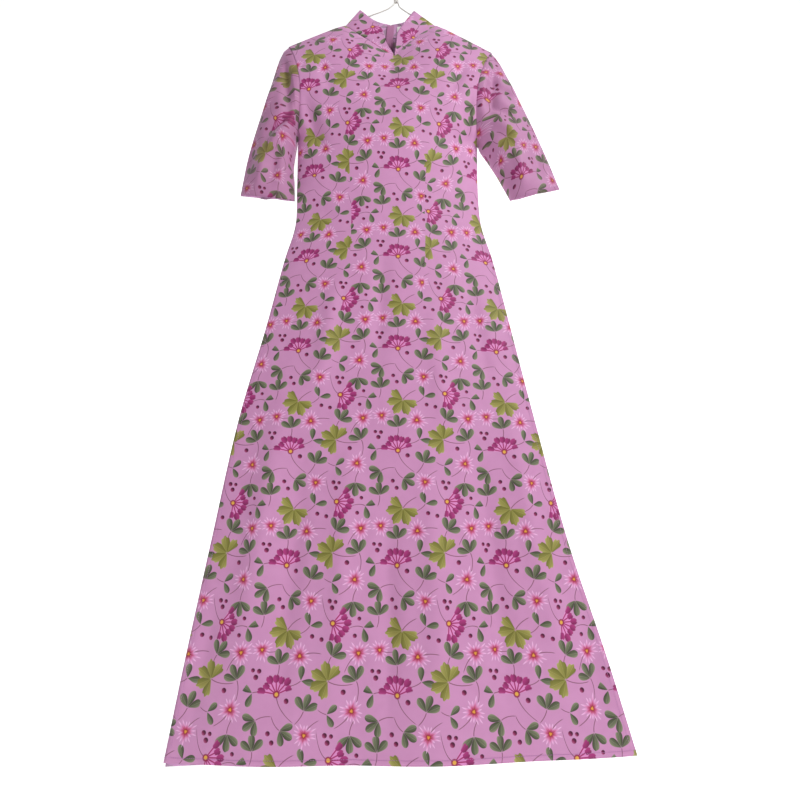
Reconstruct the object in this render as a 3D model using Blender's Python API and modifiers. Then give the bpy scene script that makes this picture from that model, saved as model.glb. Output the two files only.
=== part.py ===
"""An ao dai tunic hung on a coated wire hanger, in metres.

The front faces -Y, +X is on the viewer's right and +Z is up. The origin is the inside top of the
hanger's hook. Each cut piece of cloth is a thin shell of its own, and pieces stop short of each
other by the width of a seam gap.
"""

import math
from typing import NamedTuple

import bpy
from mathutils import Vector

# Cloth and gaps.
CLOTH = 0.0012
SEAM_GAP = 0.0003
HALF_SEAM = (CLOTH + SEAM_GAP) / 2  # from a seam line to the middle of each wall beside it
SEAM_STEP = 0.0018  # where a sleeve or the collar starts, measured along the cloth from its seam

# Front (-1) and back (+1) of the garment, left (-1) and right (+1) as seen from the front.
FRONT, BACK = -1, 1
LEFT, RIGHT = -1, 1

# Grid of the panels.
PANEL_COLUMNS = 20
ROW_STEP = 0.060
YOKE_SHARES = (0.0, 0.13, 0.27, 0.41, 0.55, 0.68, 0.79, 0.88, 0.94, 0.975, 0.993, 1.0)


class BodyRow(NamedTuple):
    """A level section of the body: a lens whose ends are the side seams or the slit edges."""

    z: float
    tilt: float  # how much higher the right end is than the middle
    left: float
    right: float
    side_y: float
    front: float  # reach of the front's middle ahead of the sides
    back: float  # reach of the back's middle behind the sides
    fullness: float  # the lens's power: lower is fuller


BODY_ROWS = (
    BodyRow(-1.4550, 0.0045, -0.3185, 0.3370, -0.060, 0.030, 0.012, 0.9),
    BodyRow(-1.3300, 0.0030, -0.3037, 0.3085, -0.053, 0.028, 0.012, 0.9),
    BodyRow(-1.1600, 0.0000, -0.2817, 0.2660, -0.042, 0.026, 0.014, 0.9),
    BodyRow(-0.9650, 0.0000, -0.2563, 0.2287, -0.028, 0.026, 0.016, 0.9),
    BodyRow(-0.8000, 0.0000, -0.2237, 0.1992, -0.016, 0.028, 0.020, 0.9),
    BodyRow(-0.6640, 0.0000, -0.1993, 0.1743, -0.006, 0.032, 0.024, 0.85),
    BodyRow(-0.5900, 0.0000, -0.1840, 0.1570, 0.000, 0.035, 0.028, 0.8),
    BodyRow(-0.5150, 0.0000, -0.1845, 0.1535, 0.000, 0.038, 0.028, 0.75),
    BodyRow(-0.4500, -0.0030, -0.1860, 0.1545, 0.000, 0.050, 0.030, 0.7),
    BodyRow(-0.4130, -0.0067, -0.1870, 0.1555, 0.000, 0.053, 0.030, 0.7),
)
SLIT_TOP = -0.590
HIP_LINE = -0.860
HAIRLINE = 0.0005  # between a panel's bodice, hip and skirt
HEM_PART = 0.0040  # half the gap between the two panels' slit edges at the hem
BACK_LONGER_LEFT, BACK_LONGER_RIGHT = 0.0070, 0.0016


class Fold(NamedTuple):
    """A soft ridge that runs down a skirt panel and dies away at the hip."""

    across: float  # -1 at the left edge, 1 at the right edge
    width: float
    reach: float  # outwards at the hem; below 0 it is a trough


FOLD_START = -0.72
FRONT_FOLDS = (
    Fold(-0.62, 0.20, 0.007),
    Fold(-0.24, 0.16, -0.005),
    Fold(0.16, 0.22, 0.006),
    Fold(0.58, 0.15, -0.004),
)
BACK_FOLDS = (
    Fold(-0.55, 0.18, 0.009),
    Fold(-0.10, 0.20, 0.004),
    Fold(0.40, 0.18, 0.010),
)

# The yoke: shoulder points, neck sides and underarms.
SHOULDER = {LEFT: (-0.2149, -0.1919), RIGHT: (0.1916, -0.2066)}
NECK_SIDE = {LEFT: (-0.1036, -0.1385), RIGHT: (0.0814, -0.1385)}
NECK_SHARE = 0.45  # share of the half width that the neckline takes at the top
FRONT_NOTCH = Vector((-0.0035, -0.0160, -0.2270))
BACK_NECK = Vector((-0.0133, 0.0200, -0.1483))
NECKLINE_PULL = {
    (FRONT, LEFT): Vector((-0.0600, -0.0140, -0.1820)),
    (FRONT, RIGHT): Vector((0.0450, -0.0140, -0.1650)),
    (BACK, LEFT): Vector((-0.0640, 0.0190, -0.1483)),
    (BACK, RIGHT): Vector((0.0420, 0.0190, -0.1483)),
}
ARMHOLE_SCOOP = 0.017
ARMHOLE_REACH = {FRONT: 0.038, BACK: 0.030}
NECK_ROUND, SHOULDER_ROUND = 0.9, 0.5  # powers of the yoke's curve: lower turns in more sharply


class SleeveRow(NamedTuple):
    """A ring of a sleeve, between its outer fold and its inner seam."""

    share: float  # 0 at the armhole, 1 at the cuff
    outer_x: float
    outer_z: float
    inner_x: float
    inner_z: float
    front: float
    back: float
    droop: float  # how much lower the ring's front hangs than its ends


SLEEVE_ROWS = {
    LEFT: (
        SleeveRow(0.06, -0.2250, -0.2040, -0.1902, -0.4130, 0.041, 0.032, 0.001),
        SleeveRow(0.16, -0.2335, -0.2300, -0.1908, -0.4250, 0.043, 0.033, 0.002),
        SleeveRow(0.34, -0.2470, -0.2920, -0.1918, -0.4460, 0.042, 0.033, 0.005),
        SleeveRow(0.56, -0.2640, -0.3670, -0.1930, -0.4730, 0.038, 0.030, 0.008),
        SleeveRow(0.78, -0.2800, -0.4480, -0.1900, -0.5040, 0.033, 0.026, 0.011),
        SleeveRow(1.00, -0.2890, -0.5290, -0.1885, -0.5400, 0.027, 0.022, 0.014),
    ),
    RIGHT: (
        SleeveRow(0.06, 0.2000, -0.2200, 0.1590, -0.4250, 0.041, 0.032, 0.001),
        SleeveRow(0.16, 0.2110, -0.2420, 0.1625, -0.4360, 0.043, 0.033, 0.002),
        SleeveRow(0.34, 0.2350, -0.3030, 0.1730, -0.4540, 0.042, 0.033, 0.005),
        SleeveRow(0.56, 0.2620, -0.3760, 0.1870, -0.4800, 0.038, 0.030, 0.008),
        SleeveRow(0.78, 0.2860, -0.4480, 0.2005, -0.5090, 0.033, 0.026, 0.011),
        SleeveRow(1.00, 0.3064, -0.5157, 0.2143, -0.5391, 0.027, 0.022, 0.014),
    ),
}
SLEEVE_POINTS = 13  # along each half of a ring
SLEEVE_BETWEEN = 1  # rings between two rows


class CollarRow(NamedTuple):
    """A rib of a collar half, from the neck seam to the free edge."""

    name: str
    base: tuple
    top: tuple


class Rib(NamedTuple):
    """A collar rib's two ends, a coordinate at a time."""

    bx: float
    by: float
    bz: float
    tx: float
    ty: float
    tz: float


COLLAR_ROWS = {
    LEFT: (
        CollarRow("notch", (-0.0045, -0.0160, -0.2262), (-0.0040, -0.0158, -0.2215)),
        CollarRow("front end", (-0.0292, -0.0145, -0.2046), (-0.0185, -0.0140, -0.1925)),
        CollarRow("front", (-0.0550, -0.0120, -0.1822), (-0.0275, -0.0110, -0.1560)),
        CollarRow("wing", (-0.0807, -0.0085, -0.1600), (-0.0440, -0.0070, -0.1346)),
        CollarRow("near side", (-0.0945, -0.0050, -0.1475), (-0.0610, -0.0048, -0.1120)),
        CollarRow("side", (-0.1036, 0.0000, -0.1385), (-0.0735, 0.0000, -0.0960)),
        CollarRow("past side", (-0.0960, 0.0075, -0.1400), (-0.0650, 0.0065, -0.0980)),
        CollarRow("back", (-0.0590, 0.0160, -0.1455), (-0.0400, 0.0165, -0.1075)),
        CollarRow("zip", (-0.0143, 0.0200, -0.1483), (-0.0120, 0.0205, -0.1127)),
    ),
    RIGHT: (
        CollarRow("notch", (-0.0022, -0.0162, -0.2260), (-0.0024, -0.0160, -0.2215)),
        CollarRow("front end", (0.0160, -0.0140, -0.2025), (0.0006, -0.0135, -0.1930)),
        CollarRow("front", (0.0300, -0.0120, -0.1860), (0.0032, -0.0115, -0.1640)),
        CollarRow("wing", (0.0480, -0.0095, -0.1680), (0.0158, -0.0085, -0.1380)),
        CollarRow("near side", (0.0700, -0.0050, -0.1485), (0.0280, -0.0052, -0.1160)),
        CollarRow("side", (0.0814, 0.0000, -0.1385), (0.0369, 0.0000, -0.0981)),
        CollarRow("past side", (0.0750, 0.0075, -0.1400), (0.0330, 0.0065, -0.1000)),
        CollarRow("back", (0.0390, 0.0160, -0.1455), (0.0180, 0.0165, -0.1085)),
        CollarRow("zip", (-0.0123, 0.0200, -0.1483), (-0.0100, 0.0205, -0.1127)),
    ),
}
COLLAR_RIBS = 22
COLLAR_LEVELS = 4

# The zip in the centre back, closed, with its tape inside.
ZIP_HALF_OPENING = 0.0010
HALF_CENTRE_SEAM = 0.00025  # half the gap of the centre back seam, below the zip
TAPE_WIDTH, TAPE_THICKNESS = 0.015, 0.0010
COIL_ROOM = 0.0011  # between the tape and the back's inner face, for the zip's coil
TAPE_INSET = CLOTH / 2 + SEAM_GAP + TAPE_THICKNESS / 2 + COIL_ROOM
TAPE_TOP, TAPE_BOTTOM = 0.0035, -0.620  # the top is a step below the collar's edge
TAPE_HEIGHTS = (-0.590, -0.560, -0.515, -0.480, -0.450, -0.430, -0.130)
SLIDER_SIZE = Vector((0.0060, 0.0024, 0.0100))
SLIDER_DROP = 0.0085  # from the collar's top edge to the pull tab's axis
SLIDER_CLEARANCE = 0.0004
BRIDGE_WIDTH, BRIDGE_BAR, BRIDGE_OPENING, BRIDGE_SPAN = 0.0012, 0.0010, 0.0020, 0.0064
TAB_WIDTH, TAB_LENGTH, TAB_THICKNESS = 0.0050, 0.0220, 0.0010
TAB_WINDOW_WIDTH, TAB_WINDOW_LENGTH, TAB_BAR = 0.0026, 0.0052, 0.0012

LABEL_WIDTH, LABEL_HEIGHT, LABEL_THICKNESS = 0.0080, 0.0130, 0.0005
LABEL_SLACK = 0.0004  # more room behind the label, because the collar curves
LABEL_PLACE = Vector((0.0060, 0.0, -0.1270))

# The hanger: one wire from the hook's end, down the neck, round the arms and back up the neck.
WIRE_RADIUS = 0.0015
HOOK_INNER_RADIUS = 0.0200
HOOK_START, HOOK_END = -60, 205  # degrees round the hook from +X
NECK_TOP, APEX = -0.056, -0.075
NECK_BEND = ((0.0045, -0.0465), (0.0010, -0.0520))
NECK_WRAP_TURNS, NECK_WRAP_PITCH, NECK_WRAP_STEPS = 2.5, 0.0036, 26
NECK_WRAP_DROP = 0.0020  # from the apex to the wrap's start
ARM_ROUTE = {
    LEFT: ((-0.0070, -0.0850), (-0.0170, -0.0938), (-0.0340, -0.1025), (-0.0592, -0.1130)),
    RIGHT: ((0.0070, -0.0880), (0.0180, -0.0985), (0.0328, -0.1095), (0.0520, -0.1230)),
}
ARM_DEPTH = 0.0078  # of the wire below the shoulder seams
ARM_TIP = {LEFT: -0.198, RIGHT: 0.176}
TIP_RADIUS = 0.0085


class Finish(NamedTuple):
    """A plain material: sRGB colour, roughness and metallic value."""

    colour: str
    roughness: float
    metallic: float


FINISHES = {
    "lilac_cloth": Finish("CE8FC8", 0.60, 0.0),
    "lilac_tape": Finish("B97DB4", 0.70, 0.0),
    "lilac_metal": Finish("B583B0", 0.35, 1.0),
    "white_label": Finish("F1EFEC", 0.80, 0.0),
    "white_coating": Finish("ECEBE6", 0.40, 0.0),
}


def linear(channel):
    """An sRGB channel from 0 to 1 as linear light."""
    return channel / 12.92 if channel <= 0.04045 else ((channel + 0.055) / 1.055) ** 2.4


def make_material(name):
    """The named finish as a Principled material, made once."""
    if name in bpy.data.materials:
        return bpy.data.materials[name]
    finish = FINISHES[name]
    material = bpy.data.materials.new(name)
    material.use_nodes = True
    shader = material.node_tree.nodes["Principled BSDF"]
    channels = [linear(int(finish.colour[i : i + 2], 16) / 255) for i in (0, 2, 4)]
    shader.inputs["Base Color"].default_value = (*channels, 1)
    shader.inputs["Roughness"].default_value = finish.roughness
    shader.inputs["Metallic"].default_value = finish.metallic
    return material


def add_object(name, data, material, collection):
    """Links the data as a named object with its material."""
    thing = bpy.data.objects.new(name, data)
    data.materials.append(make_material(material))
    collection.objects.link(thing)
    return thing


def mix(a, b, share):
    return a + (b - a) * share


def smooth_rows(rows, keys, value, fields):
    """The fields at a value between a table's rows, by a cubic through its neighbours."""
    last = len(rows) - 1
    i = next((k for k in range(last) if value <= keys[k + 1]), last - 1)
    span = keys[i + 1] - keys[i]
    t = min(max((value - keys[i]) / span, 0), 1)
    found = []
    for field in fields:
        values = [getattr(row, field) for row in rows]
        rise = [
            (values[min(k + 1, last)] - values[max(k - 1, 0)])
            / (keys[min(k + 1, last)] - keys[max(k - 1, 0)])
            for k in (i, i + 1)
        ]
        curve = (2 * t**3 - 3 * t**2 + 1) * values[i] + (3 * t**2 - 2 * t**3) * values[i + 1]
        bend = (t**3 - 2 * t**2 + t) * rise[0] + (t**3 - t**2) * rise[1]
        found.append(curve + bend * span)
    return found


def body_row(z):
    """The body's section at a height, read between the table's rows."""
    keys = [row.z for row in BODY_ROWS]
    return BodyRow(z, *smooth_rows(BODY_ROWS, keys, z, BodyRow._fields[1:]))


def down_the_skirt(z, top=SLIT_TOP):
    """0 at the top of the skirt and above, 1 at the hem."""
    return min(max((top - z) / (top - BODY_ROWS[0].z), 0), 1)


def fold_reach(face, across, z):
    """How far the skirt's folds stand out from the panel's plain section."""
    folds = FRONT_FOLDS if face == FRONT else BACK_FOLDS
    fade = down_the_skirt(z, FOLD_START) * (1 - across**2)
    return fade * sum(f.reach * math.exp(-(((across - f.across) / f.width) ** 2)) for f in folds)


def skirt_point(face, across, z):
    """A point of the body below the underarms: across runs from -1 at the left to 1."""
    row = body_row(z)
    lens = (1 - across**2) ** row.fullness
    reach = (row.front if face == FRONT else row.back) * lens + fold_reach(face, across, z)
    part = mix(HALF_SEAM, HEM_PART, down_the_skirt(z))
    longer = 0.0
    if face == BACK and z <= BODY_ROWS[0].z:
        longer = mix(BACK_LONGER_LEFT, BACK_LONGER_RIGHT, (across + 1) / 2)
    return Vector((
        mix(row.left, row.right, (across + 1) / 2),
        row.side_y + face * (part + reach),
        z + row.tilt * across - longer,
    ))


def armhole_point(side, face, share):
    """A point of an armhole seam: share runs from 0 at the shoulder to 1 at the underarm."""
    underarm = skirt_point(face, side, BODY_ROWS[-1].z)
    around = math.sin(math.pi * share)
    return Vector((
        mix(SHOULDER[side][0], underarm.x, share) - side * ARMHOLE_SCOOP * around,
        face * (HALF_SEAM + ARMHOLE_REACH[face] * max(around, 0) ** 0.6),
        mix(SHOULDER[side][1], underarm.z, share),
    ))


def top_point(face, across):
    """A point of a panel's top edge: the shoulder seams with the neckline between them."""
    side = LEFT if across < 0 else RIGHT
    neck = Vector((NECK_SIDE[side][0], face * HALF_SEAM, NECK_SIDE[side][1]))
    if abs(across) >= NECK_SHARE:
        shoulder = Vector((SHOULDER[side][0], face * HALF_SEAM, SHOULDER[side][1]))
        return neck.lerp(shoulder, (abs(across) - NECK_SHARE) / (1 - NECK_SHARE))
    middle = FRONT_NOTCH if face == FRONT else BACK_NECK
    t = abs(across) / NECK_SHARE
    pull = NECKLINE_PULL[face, side]
    return (1 - t) ** 2 * middle + 2 * t * (1 - t) * pull + t**2 * neck


def yoke_point(face, across, rise):
    """A point above the underarms: rise runs from 0 there to 1 at the top edge."""
    side_share = (across + 1) / 2
    level = BODY_ROWS[-1].z
    top = top_point(face, across)
    flat = skirt_point(face, across, level).lerp(top, rise)
    armhole_reach = 0.0
    for side, weight in ((LEFT, 1 - side_share), (RIGHT, side_share)):
        straight = skirt_point(face, side, level).lerp(top_point(face, side), rise)
        seam = armhole_point(side, face, 1 - rise)
        flat += weight * (seam - straight)
        armhole_reach += weight * (abs(seam.y) - HALF_SEAM)
    chest = BODY_ROWS[-1].front if face == FRONT else BODY_ROWS[-1].back
    beside_neck = min(max((abs(across) - 0.15) / 0.4, 0), 1)
    chest *= (1 - rise**2) ** mix(NECK_ROUND, SHOULDER_ROUND, beside_neck)
    lens = (1 - across**2) ** BODY_ROWS[-1].fullness
    reach = mix(armhole_reach, chest, lens) + (abs(top.y) - HALF_SEAM) * rise**3
    flat.y = face * (HALF_SEAM + reach)
    return flat


def level_rows(face, columns, bottom, top):
    """The grid of a panel between two heights below the underarm, from the bottom up."""
    steps = round((top - bottom) / ROW_STEP)
    heights = [mix(bottom, top, i / steps) for i in range(steps + 1)]
    return [[skirt_point(face, across, z) for across in columns] for z in heights]


def skirt_rows(face, columns):
    """The grid of a panel below the hip line."""
    return level_rows(face, columns, BODY_ROWS[0].z, HIP_LINE - HAIRLINE / 2)


def hip_rows(face, columns):
    """The grid of a panel between the hip line and the slits' top."""
    return level_rows(face, columns, HIP_LINE + HAIRLINE / 2, SLIT_TOP - HAIRLINE / 2)


def bodice_rows(face, columns):
    """The grid of a panel above the slits' top, up to the shoulders and the neck."""
    rows = level_rows(face, columns, SLIT_TOP + HAIRLINE / 2, BODY_ROWS[-1].z)[:-1]
    rows += [[yoke_point(face, across, rise) for across in columns] for rise in YOKE_SHARES]
    return rows


def back_opening(rows, side):
    """Moves a back panel's inner column off the centre line: more at the zip than at the seam."""
    inner = -1 if side == LEFT else 0
    for row in rows:
        part = ZIP_HALF_OPENING if row[inner].z > TAPE_BOTTOM else HALF_CENTRE_SEAM
        row[inner] = row[inner] + Vector((side * part, 0, 0))
    return rows


def sleeve_ring(side, row):
    """A ring of a sleeve: down its front from the outer fold to the inner seam, and up its back."""
    ring = []
    last = SLEEVE_POINTS - 1
    for face in (FRONT, BACK):
        reach = row.front if face == FRONT else row.back
        for i in range(last):
            share = i / last if face == FRONT else 1 - i / last
            angle = math.pi * share
            down = mix(share, (1 - math.cos(angle)) / 2, row.share)
            scoop = side * ARMHOLE_SCOOP * math.sin(angle) * (1 - row.share) ** 2
            droop = -face * row.droop * math.sin(angle)
            ring.append(Vector((
                mix(row.outer_x, row.inner_x, down) - scoop,
                face * reach * max(math.sin(angle), 0) ** mix(0.6, 1, row.share),
                mix(row.outer_z, row.inner_z, down) - droop,
            )))
    return ring


def armhole_ring(side):
    """The armhole's seam as a ring that matches the sleeve's."""
    last = SLEEVE_POINTS - 1
    front = [armhole_point(side, FRONT, i / last) for i in range(last)]
    back = [armhole_point(side, BACK, 1 - i / last) for i in range(last)]
    for end in (front[0], back[0]):
        end.y = 0
    return front + back


def sleeve_rings(side):
    """All of a sleeve's rings, the first of them a step out from the armhole's seam."""
    rows = SLEEVE_ROWS[side]
    keys = [row.share for row in rows]
    shares = []
    for low, high in zip(keys, keys[1:]):
        shares += [mix(low, high, k / (SLEEVE_BETWEEN + 1)) for k in range(SLEEVE_BETWEEN + 1)]
    shares.append(keys[-1])
    rings = [
        sleeve_ring(side, SleeveRow(s, *smooth_rows(rows, keys, s, SleeveRow._fields[1:])))
        for s in shares
    ]
    seam = armhole_ring(side)
    outward = Vector((side, 0, 0))
    start = [
        a + ((b - a).normalized() + outward).normalized() * SEAM_STEP
        for a, b in zip(seam, rings[0])
    ]
    return [start] + rings


def collar_ribs(side):
    """The grid of a collar half, a rib at each step from the notch to the zip."""
    rows = COLLAR_ROWS[side]
    keys = list(range(len(rows)))
    table = [Rib(*row.base, *row.top) for row in rows]
    ribs = []
    for i in range(COLLAR_RIBS + 1):
        place = keys[-1] * i / COLLAR_RIBS
        found = smooth_rows(table, keys, place, Rib._fields)
        base, top = Vector(found[:3]), Vector(found[3:])
        start = base + (top - base).normalized() * min(SEAM_STEP, (top - base).length / 3)
        ribs.append([start.lerp(top, k / COLLAR_LEVELS) for k in range(COLLAR_LEVELS + 1)])
    return ribs


def grid_mesh(name, rows, closed):
    """A surface through rows of points; closed joins each row's end to its start."""
    count = len(rows[0])
    faces = [
        (i * count + j, i * count + (j + 1) % count,
         (i + 1) * count + (j + 1) % count, (i + 1) * count + j)
        for i in range(len(rows) - 1)
        for j in range(count if closed else count - 1)
    ]
    mesh = bpy.data.meshes.new(name)
    mesh.from_pydata([point for row in rows for point in row], [], faces)
    mesh.shade_smooth()
    return mesh


def add_shell(name, rows, material, collection, thickness=CLOTH, closed=False):
    """A cloth wall of even thickness, half of it on each side of the surface."""
    shell = add_object(name, grid_mesh(name, rows, closed), material, collection)
    wall = shell.modifiers.new("wall", "SOLIDIFY")
    wall.thickness = thickness
    wall.offset = 0
    return shell


def add_panels(collection):
    """The front, and the back in two halves with the zip between them.

    Each is cut in one piece; here hairlines at the slits' top and at the hip line part it in three.
    """
    across = [2 * j / PANEL_COLUMNS - 1 for j in range(PANEL_COLUMNS + 1)]
    half = PANEL_COLUMNS // 2
    for part, rows in (("bodice", bodice_rows), ("hip", hip_rows), ("skirt", skirt_rows)):
        add_shell(f"front_{part}", rows(FRONT, across), "lilac_cloth", collection)
        left = back_opening(rows(BACK, across[: half + 1]), LEFT)
        right = back_opening(rows(BACK, across[half:]), RIGHT)
        add_shell(f"back_left_{part}", left, "lilac_cloth", collection)
        add_shell(f"back_right_{part}", right, "lilac_cloth", collection)


def add_sleeves(collection):
    for side, name in ((LEFT, "sleeve_left"), (RIGHT, "sleeve_right")):
        add_shell(name, sleeve_rings(side), "lilac_cloth", collection, closed=True)


def add_collar(collection):
    for side, name in ((LEFT, "collar_left"), (RIGHT, "collar_right")):
        add_shell(name, collar_ribs(side), "lilac_cloth", collection)


def centre_back(z):
    """The middle of the back at a height, from the hem to the collar's top edge."""
    end = COLLAR_ROWS[LEFT][-1]
    if z >= end.base[2]:
        rise = (z - end.base[2]) / (end.top[2] - end.base[2])
        x = mix(end.base[0], end.top[0], rise) + ZIP_HALF_OPENING
        return Vector((x, mix(end.base[1], end.top[1], rise), z))
    if z <= BODY_ROWS[-1].z:
        return skirt_point(BACK, 0, z)
    line = [yoke_point(BACK, 0, rise) for rise in YOKE_SHARES]
    low, high = next((a, b) for a, b in zip(line, line[1:]) if z <= b.z + 1e-6)
    return low.lerp(high, (z - low.z) / (high.z - low.z))


def add_zip_tape(collection):
    """Both tapes of the closed zip as one strip inside the back."""
    top = COLLAR_ROWS[LEFT][-1].top[2] - TAPE_TOP
    yoke = [yoke_point(BACK, 0, rise).z for rise in YOKE_SHARES if 0 < rise < 1]
    heights = sorted([TAPE_BOTTOM, *TAPE_HEIGHTS, BODY_ROWS[-1].z, *yoke, BACK_NECK.z, top])
    rows = []
    for z in heights:
        middle = centre_back(z)
        rows.append([
            middle + Vector((side * TAPE_WIDTH / 2, -TAPE_INSET, 0)) for side in (LEFT, 0, RIGHT)
        ])
    add_shell("zip_tape", rows, "lilac_tape", collection, TAPE_THICKNESS)


def box_mesh(name, low, high):
    """A box between two corners, from the cube primitive."""
    bpy.ops.mesh.primitive_cube_add(size=1)
    cube = bpy.context.object
    mesh = cube.data
    bpy.data.objects.remove(cube)
    mesh.name = name
    size = Vector(high) - Vector(low)
    middle = (Vector(high) + Vector(low)) / 2
    for vertex in mesh.vertices:
        vertex.co = Vector(c * s for c, s in zip(vertex.co, size)) + middle
    return mesh


def add_box(name, low, high, material, collection):
    return add_object(name, box_mesh(name, low, high), material, collection)


def add_boolean(thing, other, operation):
    tool = thing.modifiers.new(f"{operation.lower()} {other.name}", "BOOLEAN")
    tool.operation = operation
    tool.object = other


def add_helper(name, low, high, helpers):
    """A box that only joins or cuts another piece."""
    helper = add_box(name, low, high, "lilac_metal", helpers)
    helper.hide_render = True
    helper.display_type = "WIRE"
    return helper


def tab_axis():
    """The line that the pull tab turns about: a point on it, level along X."""
    edge = Vector(COLLAR_ROWS[LEFT][-1].top)
    place = centre_back(edge.z - SLIDER_DROP)
    body_back = place.y + CLOTH / 2 + SLIDER_CLEARANCE + SLIDER_SIZE.y
    return Vector((place.x, body_back + BRIDGE_OPENING / 2, place.z))


def add_slider(collection, helpers):
    """The slider's body behind the collar, with the bridge that holds the pull tab."""
    axis = tab_axis()
    back = axis.y - BRIDGE_OPENING / 2
    half = SLIDER_SIZE / 2
    low = (axis.x - half.x, back - SLIDER_SIZE.y, axis.z - half.z)
    slider = add_box("zip_slider", low, (axis.x + half.x, back, axis.z + half.z),
                     "lilac_metal", collection)
    reach = back + BRIDGE_OPENING + BRIDGE_BAR
    wide, tall = BRIDGE_WIDTH / 2, BRIDGE_SPAN / 2
    inner = tall - BRIDGE_BAR
    bridge = add_helper("bridge_block", (axis.x - wide, back - BRIDGE_BAR, axis.z - tall),
                        (axis.x + wide, reach, axis.z + tall), helpers)
    window = add_helper("bridge_window", (axis.x - 2 * wide, back, axis.z - inner),
                        (axis.x + 2 * wide, back + BRIDGE_OPENING, axis.z + inner), helpers)
    add_boolean(slider, bridge, "UNION")
    add_boolean(slider, window, "DIFFERENCE")


def add_pull_tab(collection, helpers):
    """A flat tab that hangs from its own top bar, which lies in the slider's bridge."""
    axis = tab_axis()
    half = TAB_BAR / 2
    thick = TAB_THICKNESS / 2
    tab = add_box("zip_pull_tab", (-TAB_WIDTH / 2, -thick, half - TAB_LENGTH),
                  (TAB_WIDTH / 2, thick, half), "lilac_metal", collection)
    tab.location = axis
    window = add_helper("tab_window",
                        (-TAB_WINDOW_WIDTH / 2, -2 * thick, -half - TAB_WINDOW_LENGTH),
                        (TAB_WINDOW_WIDTH / 2, 2 * thick, -half), helpers)
    window.location = axis
    add_boolean(tab, window, "DIFFERENCE")


def add_label(collection):
    """A blank woven label inside the back of the collar, on the right half."""
    end = COLLAR_ROWS[RIGHT][-1]
    back = COLLAR_ROWS[RIGHT][-2]
    rise = (LABEL_PLACE.z - end.base[2]) / (end.top[2] - end.base[2])
    near = Vector(end.base).lerp(Vector(end.top), rise)
    far = Vector(back.base).lerp(Vector(back.top), rise)
    inset = CLOTH / 2 + SEAM_GAP + LABEL_THICKNESS / 2 + LABEL_SLACK
    rows = []
    for z in (LABEL_PLACE.z - LABEL_HEIGHT / 2, LABEL_PLACE.z + LABEL_HEIGHT / 2):
        row = []
        for side in (LEFT, RIGHT):
            x = LABEL_PLACE.x + side * LABEL_WIDTH / 2
            y = mix(near.y, far.y, (x - near.x) / (far.x - near.x))
            row.append(Vector((x, y - inset, z)))
        rows.append(row)
    add_shell("size_label", rows, "white_label", collection, LABEL_THICKNESS)


def arc(centre_x, centre_z, radius, start, end, steps):
    """Points of an arc in the hanger's plane, at angles in degrees from +X."""
    angles = [math.radians(mix(start, end, i / steps)) for i in range(steps + 1)]
    return [(centre_x + radius * math.cos(a), centre_z + radius * math.sin(a)) for a in angles]


def arm_end(side):
    """Where an arm's straight run under the shoulder ends."""
    neck, shoulder = NECK_SIDE[side], SHOULDER[side]
    slope = (shoulder[1] - neck[1]) / (shoulder[0] - neck[0])
    return ARM_TIP[side], neck[1] + slope * (ARM_TIP[side] - neck[0]) - ARM_DEPTH


def arm_points(side):
    """An arm from the apex to its tip, and round the tip to the bottom bar."""
    tip_x, tip_z = arm_end(side)
    bend = 45
    round_tip = arc(tip_x, tip_z - TIP_RADIUS, TIP_RADIUS, 90 + bend / 2, 270, 6)
    if side == RIGHT:
        round_tip = [(2 * tip_x - x, z) for x, z in round_tip]
    under_neck = (NECK_SIDE[side][0], NECK_SIDE[side][1] - ARM_DEPTH)
    return [*ARM_ROUTE[side], under_neck, *round_tip]


def hanger_points():
    """The wire's centre line, from the hook's end to the end of its wrap round the neck."""
    radius = HOOK_INNER_RADIUS + WIRE_RADIUS
    hook = arc(0, -HOOK_INNER_RADIUS, radius, HOOK_END, HOOK_START, 24)
    flat = [*hook, *NECK_BEND, (0, NECK_TOP), (0, APEX)]
    flat += [*arm_points(LEFT), *reversed(arm_points(RIGHT))]
    route = [Vector((x, 0, z)) for x, z in flat]
    wrap_radius = 2 * WIRE_RADIUS + 2 * SEAM_GAP
    for i in range(NECK_WRAP_STEPS + 1):
        turns = NECK_WRAP_TURNS * i / NECK_WRAP_STEPS
        route.append(Vector((
            wrap_radius * math.cos(2 * math.pi * turns),
            -wrap_radius * math.sin(2 * math.pi * turns),
            APEX - NECK_WRAP_DROP + NECK_WRAP_PITCH * turns,
        )))
    return route


def add_hanger(collection):
    curve = bpy.data.curves.new("wire_hanger", "CURVE")
    curve.dimensions = "3D"
    route = hanger_points()
    line = curve.splines.new("POLY")
    line.points.add(len(route) - 1)
    for point, place in zip(line.points, route):
        point.co = (*place, 1)
    curve.bevel_depth = WIRE_RADIUS
    curve.bevel_resolution = 2
    curve.use_fill_caps = True
    add_object("wire_hanger", curve, "white_coating", collection)


def main():
    for thing in list(bpy.data.objects):
        bpy.data.objects.remove(thing)
    tunic = bpy.data.collections.new("ao_dai_tunic")
    helpers = bpy.data.collections.new("helpers")
    helpers.hide_render = True
    bpy.context.scene.collection.children.link(tunic)
    bpy.context.scene.collection.children.link(helpers)
    add_panels(tunic)
    add_sleeves(tunic)
    add_collar(tunic)
    add_zip_tape(tunic)
    add_slider(tunic, helpers)
    add_pull_tab(tunic, helpers)
    add_label(tunic)
    add_hanger(tunic)


main()
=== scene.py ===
"""The looks of an ao dai tunic on its coated wire hanger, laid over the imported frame.

The front faces -Y, +X is on the viewer's right and +Z is up. Sizes are in metres, and the print's
and the weave's in millimetres of cloth. Each cut piece of cloth is a thin shell of its own.
"""

import logging
import math
from dataclasses import dataclass, field
from enum import Enum
from typing import Any, Callable, Iterable, Sequence

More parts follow.
